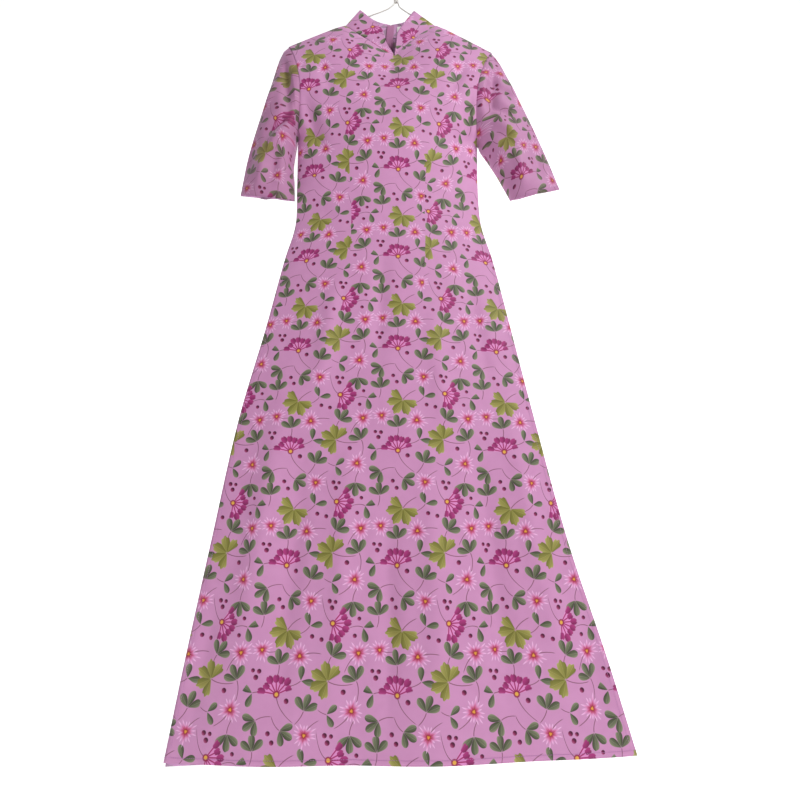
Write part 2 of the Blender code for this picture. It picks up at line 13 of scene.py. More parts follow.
import bpy
from bpy.types import Material, Mesh, Node, NodeSocket, NodeTree, Object
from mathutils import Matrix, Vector


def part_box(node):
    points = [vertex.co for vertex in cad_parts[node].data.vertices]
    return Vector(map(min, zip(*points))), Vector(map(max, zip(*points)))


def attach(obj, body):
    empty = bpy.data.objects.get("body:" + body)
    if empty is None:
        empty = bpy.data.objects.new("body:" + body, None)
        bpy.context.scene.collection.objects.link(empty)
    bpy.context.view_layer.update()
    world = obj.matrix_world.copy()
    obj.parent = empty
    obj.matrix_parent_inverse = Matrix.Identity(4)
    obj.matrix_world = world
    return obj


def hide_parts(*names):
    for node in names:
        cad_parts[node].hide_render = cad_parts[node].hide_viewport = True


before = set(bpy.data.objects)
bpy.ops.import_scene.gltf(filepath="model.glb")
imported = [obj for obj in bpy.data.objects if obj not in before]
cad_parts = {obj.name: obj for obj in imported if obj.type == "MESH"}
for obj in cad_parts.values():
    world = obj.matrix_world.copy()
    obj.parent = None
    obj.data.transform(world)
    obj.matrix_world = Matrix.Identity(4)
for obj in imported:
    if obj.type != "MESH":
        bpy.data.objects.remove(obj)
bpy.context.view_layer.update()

LOG = logging.getLogger("tunic")

GARMENT, PULL_TAB = "garment", "pull_tab"
CLOTH_MAP, EDGE_FIELD = "cloth", "edge_distance"
WALL = 0.0009  # the cloth's wall, thin enough to read as crepe and thick enough for both its sides
HEM = 0.007  # the depth of the turned hems
CREASE_REACH = 2.2  # what the listed creases' reach is multiplied by
CREASE_ENDS = 1.15  # where a crease has died away, its own half length being 1
HALF_SEAM = 0.00055  # from a seam line to the middle of each wall beside it
MM = 1000.0
FAR = 99  # millimetres, past any motif's reach


class Face(Enum):
    """The front or the back of the garment, with its direction along Y."""

    FRONT = -1
    BACK = 1


class Side(Enum):
    """The left or the right of the garment as seen from the front, with its direction along X."""

    LEFT = -1
    RIGHT = 1


def mix(a: Any, b: Any, share: float) -> Any:
    """A value or a vector between two others."""
    return a + (b - a) * share


def limit(value: float, low: float = 0.0, high: float = 1.0) -> float:
    """The value kept between two others."""
    return min(max(value, low), high)


def smooth(value: float) -> float:
    """An even ease from 0 to 1."""
    t = limit(value)
    return t * t * (3 - 2 * t)


# ---- The garment's form: sections and folds


@dataclass(frozen=True)
class BodyRow:
    """A level section of the body: a lens whose ends are the side seams or the slit edges."""

    z: float
    tilt: float
    left: float
    right: float
    side_y: float
    front: float
    back: float
    fullness: float


@dataclass(frozen=True)
class SkirtFold:
    """A soft ridge down a skirt panel that dies away at the hip; below 0 it is a trough."""

    across: float
    width: float
    reach: float


@dataclass(frozen=True)
class Crease:
    """A soft ridge, or a trough where reach is below 0, along a line seen from the front."""

    start: tuple[float, float]
    end: tuple[float, float]
    width: float
    reach: float

    def at(self, x: float, z: float) -> float:
        """How far it lifts the cloth at a place.

        Args:
            x: the place across the garment.
            z: the place's height.

        Returns:
            The lift off the plain surface, in metres.
        """
        dx, dz = self.end[0] - self.start[0], self.end[1] - self.start[1]
        length = math.hypot(dx, dz)
        along = ((x - self.start[0]) * dx + (z - self.start[1]) * dz) / length**2
        off = ((x - self.start[0]) * dz - (z - self.start[1]) * dx) / length
        ends = smooth(CREASE_ENDS - abs(2 * along - 1))
        return CREASE_REACH * self.reach * math.exp(-((off / self.width) ** 2)) * ends


def creases(*rows: tuple[float, ...]) -> tuple[Crease, ...]:
    """Creases from rows of a start's X and Z, an end's X and Z, a width and a reach."""
    return tuple(Crease(row[:2], row[2:4], *row[4:]) for row in rows)


def read_between(rows: Sequence[Any], keys: Sequence[float], value: float, name: str) -> float:
    """A column of a table at a value between its rows, by a cubic through the neighbours.

    Args:
        rows: the table.
        keys: the rising values that the rows stand at.
        value: where to read.
        name: the column.

    Returns:
        The column's value there.
    """
    last = len(rows) - 1
    i = next((k for k in range(last) if value <= keys[k + 1]), last - 1)
    span = keys[i + 1] - keys[i]
    t = limit((value - keys[i]) / span)
    near = [min(max(k, 0), last) for k in range(i - 1, i + 3)]
    values = [getattr(rows[k], name) for k in near]
    places = [keys[k] for k in near]
    rise = [(values[k + 2] - values[k]) / (places[k + 2] - places[k]) for k in (0, 1)]
    curve = (2 * t**3 - 3 * t**2 + 1) * values[1] + (3 * t**2 - 2 * t**3) * values[2]
    bend = (t**3 - 2 * t**2 + t) * rise[0] + (t**3 - t**2) * rise[1]
    return curve + bend * span


@dataclass(frozen=True)
class TunicForm:
    """The hung garment's surface, worked out from its sections as the frame's solids are."""

    rows: tuple[BodyRow, ...] = tuple(BodyRow(*row) for row in (
        (-1.4550, 0.0045, -0.3185, 0.3370, -0.060, 0.030, 0.012, 0.9),
        (-1.3300, 0.0030, -0.3037, 0.3085, -0.053, 0.028, 0.012, 0.9),
        (-1.1600, 0.0000, -0.2817, 0.2660, -0.042, 0.026, 0.014, 0.9),
        (-0.9650, 0.0000, -0.2563, 0.2287, -0.028, 0.026, 0.016, 0.9),
        (-0.8000, 0.0000, -0.2237, 0.1992, -0.016, 0.028, 0.020, 0.9),
        (-0.6640, 0.0000, -0.1993, 0.1743, -0.006, 0.032, 0.024, 0.85),
        (-0.5900, 0.0000, -0.1840, 0.1570, 0.000, 0.035, 0.028, 0.8),
        (-0.5150, 0.0000, -0.1845, 0.1535, 0.000, 0.038, 0.028, 0.75),
        (-0.4500, -0.0030, -0.1860, 0.1545, 0.000, 0.050, 0.030, 0.7),
        (-0.4130, -0.0067, -0.1870, 0.1555, 0.000, 0.053, 0.030, 0.7),
    ))
    slit_top: float = -0.590
    hem_part: float = 0.0040
    back_longer: tuple[float, float] = (0.0070, 0.0016)
    longer_from: float = 0.06
    fold_start: float = -0.72
    folds: dict[Face, tuple[SkirtFold, ...]] = field(
        default_factory=lambda: {
            Face.FRONT: (
                SkirtFold(-0.62, 0.20, 0.007),
                SkirtFold(-0.24, 0.16, -0.005),
                SkirtFold(0.16, 0.22, 0.006),
                SkirtFold(0.58, 0.15, -0.004),
            ),
            Face.BACK: (
                SkirtFold(-0.55, 0.18, 0.009),
                SkirtFold(-0.10, 0.20, 0.004),
                SkirtFold(0.40, 0.18, 0.010),
            ),
        }
    )
    shoulder: dict[Side, tuple[float, float]] = field(
        default_factory=lambda: {Side.LEFT: (-0.2149, -0.1919), Side.RIGHT: (0.1916, -0.2066)}
    )
    neck_side: dict[Side, tuple[float, float]] = field(
        default_factory=lambda: {Side.LEFT: (-0.1036, -0.1385), Side.RIGHT: (0.0814, -0.1385)}
    )
    neck_share: float = 0.45
    front_notch: tuple[float, float, float] = (-0.0035, -0.0160, -0.2270)
    back_neck: tuple[float, float, float] = (-0.0133, 0.0200, -0.1483)
    neckline_pull: dict[tuple[Face, Side], tuple[float, float, float]] = field(
        default_factory=lambda: {
            (Face.FRONT, Side.LEFT): (-0.0600, -0.0140, -0.1820),
            (Face.FRONT, Side.RIGHT): (0.0450, -0.0140, -0.1650),
            (Face.BACK, Side.LEFT): (-0.0640, 0.0190, -0.1483),
            (Face.BACK, Side.RIGHT): (0.0420, 0.0190, -0.1483),
        }
    )
    armhole_scoop: float = 0.017
    armhole_round: float = 0.6
    armhole_reach: dict[Face, float] = field(
        default_factory=lambda: {Face.FRONT: 0.038, Face.BACK: 0.030}
    )
    neck_round: float = 0.9
    shoulder_round: float = 0.5
    beside_neck: tuple[float, float] = (0.15, 0.4)

    @property
    def hem(self) -> float:
        """The hem's height at the middle."""
        return self.rows[0].z

    @property
    def underarm(self) -> float:
        """The height at which the yoke starts."""
        return self.rows[-1].z

    def section(self, z: float) -> BodyRow:
        """The body's section at a height, read between the table's rows."""
        keys = [row.z for row in self.rows]
        names = list(BodyRow.__dataclass_fields__)[1:]
        return BodyRow(z, *(read_between(self.rows, keys, z, name) for name in names))

    def down(self, z: float, top: float) -> float:
        """0 at a height and above it, 1 at the hem."""
        return limit((top - z) / (top - self.hem))

    def skirt_point(self, face: Face, across: float, z: float) -> Vector:
        """A point of the body below the underarms.

        Args:
            face: front or back.
            across: from -1 at the left edge to 1 at the right one.
            z: the height at the panel's middle.

        Returns:
            The point on the middle of the cloth's wall.
        """
        row = self.section(z)
        lens = max(1 - across**2, 0) ** row.fullness
        plain = row.front if face is Face.FRONT else row.back
        fade = self.down(z, self.fold_start) * (1 - across**2)
        waves = sum(fold.reach * math.exp(-(((across - fold.across) / fold.width) ** 2))
                    for fold in self.folds[face])
        reach = plain * lens + fade * waves
        part = mix(HALF_SEAM, self.hem_part, self.down(z, self.slit_top))
        longer = 0.0
        if face is Face.BACK:
            near_hem = smooth((self.hem + self.longer_from - z) / self.longer_from)
            longer = near_hem * mix(*self.back_longer, (across + 1) / 2)
        return Vector((
            mix(row.left, row.right, (across + 1) / 2),
            row.side_y + face.value * (part + reach),
            z + row.tilt * across - longer,
        ))

    def armhole_point(self, side: Side, face: Face, share: float) -> Vector:
        """A point of an armhole's seam, at a share from the shoulder (0) to the underarm (1)."""
        underarm = self.skirt_point(face, side.value, self.underarm)
        around = max(math.sin(math.pi * share), 0)
        return Vector((
            mix(self.shoulder[side][0], underarm.x, share) - side.value * self.armhole_scoop * around,
            face.value * (HALF_SEAM + self.armhole_reach[face] * around**self.armhole_round),
            mix(self.shoulder[side][1], underarm.z, share),
        ))

    def top_point(self, face: Face, across: float) -> Vector:
        """A point of a panel's top edge: the shoulder seams with the neckline between them."""
        side = Side.LEFT if across < 0 else Side.RIGHT
        neck = Vector((self.neck_side[side][0], face.value * HALF_SEAM, self.neck_side[side][1]))
        if abs(across) >= self.neck_share:
            x, z = self.shoulder[side]
            along = (abs(across) - self.neck_share) / (1 - self.neck_share)
            return neck.lerp(Vector((x, face.value * HALF_SEAM, z)), along)
        middle = Vector(self.front_notch if face is Face.FRONT else self.back_neck)
        t = abs(across) / self.neck_share
        pull = Vector(self.neckline_pull[face, side])
        return (1 - t) ** 2 * middle + 2 * t * (1 - t) * pull + t**2 * neck

    def yoke_point(self, face: Face, across: float, rise: float) -> Vector:
        """A point above the underarms.

        Args:
            face: front or back.
            across: from -1 at the left armhole to 1 at the right one.
            rise: 0 at the underarms, 1 at the top edge.

        Returns:
            The point on the middle of the cloth's wall.
        """
        top = self.top_point(face, across)
        flat = self.skirt_point(face, across, self.underarm).lerp(top, rise)
        armhole_reach = 0.0
        for side, weight in ((Side.LEFT, (1 - across) / 2), (Side.RIGHT, (1 + across) / 2)):
            low = self.skirt_point(face, side.value, self.underarm)
            straight = low.lerp(self.top_point(face, side.value), rise)
            seam = self.armhole_point(side, face, 1 - rise)
            flat += weight * (seam - straight)
            armhole_reach += weight * (abs(seam.y) - HALF_SEAM)
        chest = self.rows[-1].front if face is Face.FRONT else self.rows[-1].back
        start, width = self.beside_neck
        beside = limit((abs(across) - start) / width)
        chest *= max(1 - rise**2, 0) ** mix(self.neck_round, self.shoulder_round, beside)
        lens = max(1 - across**2, 0) ** self.rows[-1].fullness
        reach = mix(armhole_reach, chest, lens) + (abs(top.y) - HALF_SEAM) * rise**3
        flat.y = face.value * (HALF_SEAM + reach)
        return flat


FORM = TunicForm()


# ---- Meshes and nodes


@dataclass
class Loft:
    """A surface through rows of points, with its place in the flat cloth and its edge distance."""

    points: list[list[Vector]]
    flat: list[list[tuple[float, float]]]
    edge: list[list[float]] = field(default_factory=list)
    closed: bool = False
    darts: tuple[int, int] = (-1, 1 << 20)
    intake: list[tuple[float, ...]] = field(default_factory=list)

    def laid_flat(self, row: int, column: int, strip: int) -> tuple[float, float]:
        """A corner's place in the cut cloth, with what the darts take in opened out.

        Args:
            row: the corner's row.
            column: the corner's column.
            strip: the column of faces that the corner is read for.

        Returns:
            The place in metres.
        """
        u, v = self.flat[row][column]
        if self.intake and strip < self.darts[0]:
            u -= self.intake[row][0]
        if self.intake and strip >= self.darts[1]:
            u += self.intake[row][1]
        return u, v

    def mesh(self, name: str, outward: Callable[[Vector], Vector]) -> Mesh:
        """The surface as a mesh with its cloth map.

        Args:
            name: the mesh's name.
            outward: the rough outward direction at a point.

        Returns:
            The mesh, its faces turned outwards.
        """
        count = len(self.points[0])
        columns = count if self.closed else count - 1
        faces, corners = [], []
        for i in range(len(self.points) - 1):
            for j in range(columns):
                ring = ((i, j), (i, j + 1), (i + 1, j + 1), (i + 1, j))
                faces.append(tuple(a * count + b % count for a, b in ring))
                corners.append([self.laid_flat(a, b, j) for a, b in ring])
        mesh = bpy.data.meshes.new(name)
        mesh.from_pydata([point for row in self.points for point in row], [], faces)
        layer = mesh.uv_layers.new(name=CLOTH_MAP)
        for polygon, places in zip(mesh.polygons, corners):
            for loop, place in zip(polygon.loop_indices, places):
                layer.data[loop].uv = place
        distance = mesh.attributes.new(EDGE_FIELD, "FLOAT", "POINT")
        for k, value in enumerate(value for row in self.edge for value in row[:count]):
            distance.data[k].value = value
        middle = mesh.polygons[len(mesh.polygons) // 2 + columns // 2]
        if middle.normal.dot(outward(middle.center)) < 0:
            mesh.flip_normals()
        mesh.shade_smooth()
        return mesh


def add_object(name: str, data: Any, materials: Iterable[Material] = ()) -> Object:
    """Links data as a named object with its materials.

    Args:
        name: the object's name.
        data: its mesh, curve, light or camera.
        materials: one for each slot, in order.

    Returns:
        The new object.
    """
    thing = bpy.data.objects.new(name, data)
    for material in materials:
        data.materials.append(material)
    bpy.context.scene.collection.objects.link(thing)
    return thing


def hand_over(thing: Object, body: str = GARMENT, stands_for: tuple[str, ...] = ()) -> None:
    """Tells the frame what a finished piece rides on and the solids it stands for.

    Args:
        thing: the piece.
        body: the body it moves with.
        stands_for: the frame's nodes that it replaces.
    """
    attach(thing, body)
    if stands_for:
        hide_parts(*stands_for)
    LOG.info("%s: %d faces", thing.name, len(thing.data.polygons))


def add_cloth(name: str, loft: Loft, outward: Callable[[Vector], Vector], materials: list[Material],
              stands_for: tuple[str, ...], thickness: float = WALL) -> Object:
    """Makes a piece of cloth with an even wall, half on each side of its surface, and hands it over.

    Args:
        name: the piece's name.
        loft: its surface.
        outward: the rough outward direction at a point.
        materials: its face's and, where it has one, its reverse's.
        stands_for: the frame's nodes that it replaces.
        thickness: the wall's.

    Returns:
        The new piece.
    """
    cloth = add_object(name, loft.mesh(name, outward), materials)
    wall = cloth.modifiers.new("wall", "SOLIDIFY")
    wall.thickness = thickness
    wall.offset = 0
    wall.material_offset = len(materials) - 1
    hand_over(cloth, stands_for=stands_for)
    return cloth


def linear(code: str, alpha: float = 1.0) -> tuple[float, float, float, float]:
    """An sRGB hex colour as linear light."""
    channels = (int(code[i : i + 2], 16) / 255 for i in (0, 2, 4))
    lit = [c / 12.92 if c <= 0.04045 else ((c + 0.055) / 1.055) ** 2.4 for c in channels]
    return (*lit, alpha)


def fill(tree: NodeTree, node: Node, inputs: dict[Any, Any]) -> None:
    """Sets or links a node's inputs, by their numbers or names, to values, sockets or nodes."""
    for key, value in inputs.items():
        if isinstance(value, Node):
            value = value.outputs[0]
        if isinstance(value, NodeSocket):
            tree.links.new(value, node.inputs[key])
        else:
            node.inputs[key].default_value = value


def add_node(tree: NodeTree, kind: str, inputs: dict[Any, Any] | None = None, **settings: Any) -> Any:
    """Adds a node with its settings and links.

    Args:
        tree: the node tree.
        kind: the node's type.
        inputs: a value, a socket or a node for each input, by its number or name.
        **settings: the node's own properties.

    Returns:
        The new node.
    """
    node = tree.nodes.new(kind)
    for name, value in settings.items():
        setattr(node, name, value)
    fill(tree, node, inputs or {})
    return node


SIGNS = {"*": "MULTIPLY", "*+": "MULTIPLY_ADD", "/": "DIVIDE", "+": "ADD", "-": "SUBTRACT"}


def work_out(tree: NodeTree, known: dict[str, Any], steps: str) -> None:
    """Works out a formula, a Math node for each step.

    Args:
        tree: the node tree.
        known: the values and sockets that the steps may name; it gains each step's result.
        steps: "name = sign terms" for each, parted by semicolons. The terms are names or numbers,
            and a sign that ends in ! keeps its result between 0 and 1.
    """
    for step in steps.split(";"):
        name, _, sign, *terms = step.split()
        inputs = {i: known[t] if t in known else float(t) for i, t in enumerate(terms)}
        kind = sign.rstrip("!")
        node = add_node(tree, "ShaderNodeMath", inputs, operation=SIGNS.get(kind, kind),
                        use_clamp=sign != kind)
        known[name] = node.outputs[0]


def new_group(name: str, inputs: dict[str, str], outputs: dict[str, str],
              kind: str = "ShaderNodeTree") -> tuple[Any, Any, Any]:
    """A node group with its interface.

    Args:
        name: the group's name.
        inputs: the input sockets' kinds by name.
        outputs: the output sockets' kinds by name.
        kind: the tree's type.

    Returns:
        The tree, its input node and its output node.
    """
    tree = bpy.data.node_groups.new(name, kind)
    for way, sockets in (("INPUT", inputs), ("OUTPUT", outputs)):
        for label, socket in sockets.items():
            tree.interface.new_socket(label, in_out=way, socket_type=f"NodeSocket{socket}")
    return tree, tree.nodes.new("NodeGroupInput"), tree.nodes.new("NodeGroupOutput")


def new_material(name: str, inputs: dict[str, Any]) -> tuple[Material, NodeTree, Node]:
    """A material, its tree and its shader with the shader's own constants set."""
    material = bpy.data.materials.new(name)
    material.use_nodes = True
    tree = material.node_tree
    shader = tree.nodes["Principled BSDF"]
    fill(tree, shader, inputs)
    return material, tree, shader


# ---- The print


class MotifKind(Enum):
    """The motifs of the print."""

    SPRIG = "sprig"
    DAISY = "daisy"
    FAN = "fan"
    PALM = "palm"
    BERRY = "berry"


@dataclass(frozen=True)
class Motif:
    """A motif's place in the print's repeat: millimetres, degrees and a size against the usual."""

    kind: MotifKind
    x: float
    y: float
    turn: float = 0.0
    size: float = 1.0
    leaves: int = 3
    stalk: float = 22.0
    bend: float = 0.016


SPRIG, DAISY, FAN, PALM, BERRY = MotifKind


@dataclass(frozen=True)
class FloralPrint:
    """A ditsy floral of fans, daisies, leaves and berries, drawn by formulas in cloth millimetres."""

    repeat: tuple[float, float] = (170.0, 174.0)
    ground: str = "CE92BE"
    ground_shade: str = "C487B3"
    # Each row: kind, x, y, turn, size, leaves, stalk and bend, as far as they are not the usual.
    motifs: tuple[Motif, ...] = tuple(Motif(*row) for row in (
        (FAN, 36, 34, 96, 1, 3, 38, -0.016),
        (FAN, 112, 128, -22, 1, 3, 30, 0.03),
        (PALM, 108, 52, 152, 1, 3, 34, -0.012),
        (PALM, 44, 118, 238, 1, 3, 26, 0.014),
        (DAISY, 66, 84, 205, 1, 3, 30, 0.012),
        (DAISY, 150, 88, 30, 1, 3, 30, -0.014),
        (DAISY, 78, 158, 250, 0.95, 3, 26, 0.02),
        (DAISY, 10, 92, 150, 0.9, 3, 24, -0.02),
        (DAISY, 142, 14, 65, 1, 3, 30, 0.014),
        (SPRIG, 76, 14, 72, 1, 3, 20),
        (SPRIG, 70, 52, 40, 0.92, 2),
        (SPRIG, 112, 84, 55, 1, 3, 18, -0.02),
        (SPRIG, 36, 72, 100, 0.95, 3, 16),
        (SPRIG, 78, 124, 58, 0.9, 2, 24, 0.02),
        (BERRY, 96, 106, 0, 0.9),
        (SPRIG, 148, 52, 118, 1, 3, 30, 0.02),
        (SPRIG, 156, 122, -28, 0.95, 2, 20, -0.03),
        (SPRIG, 140, 158, 272, 1, 3, 20, 0.02),
        (SPRIG, 8, 138, 96, 0.95, 3, 18),
        (SPRIG, 44, 164, 330, 0.92, 3, 22, 0.02),
        (SPRIG, 172, 36, 200, 0.9, 2, 18, 0.02),
        (SPRIG, 108, 10, 350, 0.85, 2, 16),
        (SPRIG, 10, 2, 215, 0.95, 3, 22, 0.02),
        (BERRY, 130, 38),
        (BERRY, 5, 56),
        (BERRY, 9, 64, 0, 0.9),
        (BERRY, 0, 65, 0, 0.8),
        (BERRY, 110, 149),
        (BERRY, 106, 158, 0, 0.95),
        (BERRY, 115, 157, 0, 0.8),
        (BERRY, 51, 26),
        (BERRY, 28, 160, 0, 0.9),
        (BERRY, 34, 149, 0, 0.9),
        (BERRY, 82, 110, 0, 0.9),
        (BERRY, 144, 111, 0, 0.85),
        (BERRY, 150, 134, 0, 0.8),
    ))

    def placed(self) -> NodeTree:
        """The group that turns cloth millimetres into a motif's own, repeated over the cloth."""
        tree, given, result = new_group("Placed motif", {
            "Cloth": "Vector", "Centre": "Vector", "Turn": "Float", "Grow": "Float"}, {"Own": "Vector"})
        half = [side / 2 for side in self.repeat]
        away = add_node(tree, "ShaderNodeVectorMath", {0: given.outputs[0], 1: given.outputs[1]},
                        operation="SUBTRACT")
        tiled = add_node(tree, "ShaderNodeVectorMath",
                         {0: away, 1: (*half, 0.5), 2: (-half[0], -half[1], -0.5)}, operation="WRAP")
        turned = add_node(tree, "ShaderNodeVectorRotate", {"Vector": tiled, "Angle": given.outputs[2]},
                          rotation_type="Z_AXIS", invert=True)
        grown = add_node(tree, "ShaderNodeVectorMath", {0: turned, "Scale": given.outputs[3]},
                         operation="SCALE")
        tree.links.new(grown.outputs[0], result.inputs[0])
        return tree

    def nearer(self) -> NodeTree:
        """The group that keeps whichever of two motifs' own places lies nearer its motif."""
        kept_sockets = {"Best": "Vector", "Least": "Float"}
        tree, given, result = new_group("Nearer motif", {"Own": "Vector", **kept_sockets}, kept_sockets)
        away = add_node(tree, "ShaderNodeVectorMath", {0: given.outputs[0]}, operation="LENGTH")
        known = {"away": away.outputs["Value"], "Least": given.outputs[2]}
        work_out(tree, known, "closer = LESS_THAN away Least; least = MINIMUM away Least")
        kept = add_node(tree, "ShaderNodeMix", {0: known["closer"], 4: given.outputs[1],
                        5: given.outputs[0]}, data_type="VECTOR")
        fill(tree, result, {"Best": kept.outputs[1], "Least": known["least"]})
        return tree

    def leaflet(self) -> NodeTree:
        """A leaflet from its stalk along +X, widest past its middle, with a pale vein and rim."""
        names = ("X", "Y", "Length", "Width")
        tree, given, result = new_group("Leaflet", dict.fromkeys(names, "Float"),
                                        {"Mask": "Float", "Tone": "Float"})
        known = {name: given.outputs[name] for name in names}
        work_out(tree, known, """
            along = /! X Length; rise = POWER along 1.15; rest = - 1.0 along;
            fall = POWER rest 0.55; shape = * rise fall; stretch = * shape 2.65;
            half = * stretch Width; off = ABSOLUTE Y; inside = - half off; mask = *! inside 2.4;
            padded = + half 0.3; lean = / Y padded; base = *+ lean 0.30 0.34;
            tip = *+ along 0.22 base; thin = *+! off -3.2 1.0; veined = *+ thin 0.34 tip;
            near = *+! inside -1.5 1.0; tone = *+! near 0.24 veined
        """)
        fill(tree, result, {"Mask": known["mask"], "Tone": known["tone"]})
        return tree

    def motif_group(self, name: str, coloured: bool = False) -> tuple[Any, Any, dict[str, Any]]:
        """A motif's group, which takes the motif's own place and works out its reach and angle.

        Args:
            name: the motif's name.
            coloured: whether it takes and gives a colour, or else gives a mask and a tone.

        Returns:
            The tree, its output node and the known values.
        """
        colour = {"Colour": "Color"} if coloured else {}
        tree, given, result = new_group(
            name, {"Own": "Vector", **colour}, colour or {"Mask": "Float", "Tone": "Float"})
        split = add_node(tree, "ShaderNodeSeparateXYZ", {0: given.outputs[0]})
        known = {**dict(zip("xyz", split.outputs)), "colour": given.outputs.get("Colour")}
        work_out(tree, known, "xx = * x x; rr = *+ y y xx; r = SQRT rr; angle = ARCTAN2 y x")
        return tree, result, known

    def in_sector(self, tree: NodeTree, known: dict[str, Any], spacing: float) -> None:
        """Works out the place along and beside the nearest of evenly spread middle lines.

        Args:
            tree: the motif's tree.
            known: its values, which gain number, shifted, lx and ly.
            spacing: the angle from one line to the next.
        """
        work_out(tree, known, f"""
            steps = *+ angle {1 / spacing} 0.5; number = FLOOR steps; part = FRACT steps;
            shifted = - part 0.5; turned = * shifted {spacing}; side = SINE turned;
            ahead = COSINE turned; lx = * ahead r; ly = * side r
        """)

    def sprig(self, leaflet: NodeTree) -> NodeTree:
        """Two leaflets and, where the place is raised, a third between them."""
        tree, result, known = self.motif_group("Sprig")
        spread = math.radians(50)
        work_out(tree, known, f"""
            away = ABSOLUTE y; xc = * x {math.cos(spread)}; px = *+ away {math.sin(spread)} xc;
            yc = * away {math.cos(spread)}; py = *+ x {-math.sin(spread)} yc
        """)
        pair = add_node(tree, "ShaderNodeGroup", {"X": known["px"], "Y": known["py"], "Length": 21.0,
                        "Width": 5.9}, node_tree=leaflet)
        lone = add_node(tree, "ShaderNodeGroup", {"X": known["x"], "Y": known["y"], "Length": 22.5,
                        "Width": 6.0}, node_tree=leaflet)
        known.update(pm=pair.outputs[0], pt=pair.outputs[1], lm=lone.outputs[0], lt=lone.outputs[1])
        work_out(tree, known, """
            third = GREATER_THAN z 0.2; end = * lm third; change = - lt pt;
            tone = *+ change end pt; mask = MAXIMUM pm end
        """)
        fill(tree, result, {"Mask": known["mask"], "Tone": known["tone"]})
        return tree

    def daisy(self) -> NodeTree:
        """A daisy of thin rays round a gold eye: its tone runs from 0 at the eye to 1 at the tips."""
        tree, result, known = self.motif_group("Daisy")
        radius, rays = 20.5, 17
        work_out(tree, known, f"""
            uneven = *+ angle 3.0 1.3; wave = SINE uneven; often = *+ angle 8.0 0.4;
            ripple = SINE often; most = *+ wave {0.13 * radius} {0.80 * radius};
            reach = *+ ripple {0.12 * radius} most; q = /! r reach;
            turns = * angle {rays / (2 * math.pi)}; part = FRACT turns; shifted = - part 0.5;
            aside = ABSOLUTE shifted; arc = * aside r; off = * arc {2 * math.pi / rays};
            full = * q {math.pi}; bulge = SINE full; half = *+ bulge 1.25 0.25;
            inside = - half off; ray = *! inside 2.2; rim = - reach r; kept = *! rim 0.6;
            clear = *+ q -0.30 1.0; petal = * ray kept; petals = * petal clear;
            eye = *+! r -2.0 8.4; mask = MAXIMUM petals eye
        """)
        fill(tree, result, {"Mask": known["mask"], "Tone": known["q"]})
        return tree

    def fan(self) -> NodeTree:
        """A fan of florets from a gold eye along +X: pale petals, dark stalks and deep tips."""
        tree, result, known = self.motif_group("Fan", coloured=True)
        spacing, reach, soft = math.radians(24), 28.0, 12.0
        self.in_sector(tree, known, spacing)
        work_out(tree, known, f"""
            wide = ABSOLUTE angle; fanned = *+! wide {-soft} {soft * 3.45 * spacing};
            odd = * number 2.4; swing = SINE odd;
            length = *+ swing {0.09 * reach} {0.92 * reach}; u = / lx length; off = ABSOLUTE ly
        """)
        # The deep tip is a round blotch with a notch on its far side.
        work_out(tree, known, f"""
            du = - u 0.79; du2 = * du du; dv = * ly {1 / 5.2}; dv2 = * dv dv;
            ring = *+ du2 19.0 dv2; notch = *+ off -0.28 0.42; notched = MAXIMUM notch 0.0;
            past = *! du 9.0; bite = *+ notched past ring; tip = *+! bite -3.5 3.5
        """)
        # The pale petal fills the sector below it.
        work_out(tree, known, """
            pale_w = *+ lx 0.17 0.5; pale_in = - pale_w off; pale_s = *! pale_in 2.0;
            pale_e = *+! u -9.0 8.4; pale = * pale_s pale_e; stem_w = *+! off -1.5 1.75;
            stem_e = *+! u -9.0 7.6; stem = * stem_w stem_e; heart = *+! r -0.7 3.7;
            gold = *+! r -1.4 4.1; tip_f = * tip fanned; pale_f = * pale fanned;
            stem_f = * stem fanned; shade = *+! dv 0.5 0.5
        """)
        tip_colour = add_node(tree, "ShaderNodeMix", {0: known["shade"], 6: linear("74174E"),
                              7: linear("B23880")}, data_type="RGBA").outputs[2]
        colour = known["colour"]
        for mask, shade in (("pale_f", linear("DC86C4")), ("stem_f", linear("9C2860")),
                            ("tip_f", tip_colour), ("heart", linear("8E1F48")),
                            ("gold", linear("E0A94A"))):
            colour = add_node(tree, "ShaderNodeMix", {0: known[mask], 6: colour, 7: shade},
                              data_type="RGBA").outputs[2]
        tree.links.new(colour, result.inputs["Colour"])
        return tree

    def palm(self, leaflet: NodeTree) -> NodeTree:
        """A leaf of five rounded lobes spread from its stalk, which lies at the origin."""
        tree, result, known = self.motif_group("Palm leaf")
        spacing, soft = math.radians(50), 9.0
        self.in_sector(tree, known, spacing)
        work_out(tree, known, f"""
            wide = ABSOLUTE angle; spread = *+! wide {-soft} {soft * 2.5 * spacing};
            facing = COSINE angle; plain = *+ facing 2.5 24.0;
            toothed = * shifted {6 * math.pi}; tooth = COSINE toothed;
            length = *+ tooth 1.3 plain
        """)
        lobe = add_node(tree, "ShaderNodeGroup", {"X": known["lx"], "Y": known["ly"],
                        "Length": known["length"], "Width": 8.0}, node_tree=leaflet)
        known["lm"] = lobe.outputs[0]
        work_out(tree, known, "mask = * lm spread")
        fill(tree, result, {"Mask": known["mask"], "Tone": lobe.outputs[1]})
        return tree

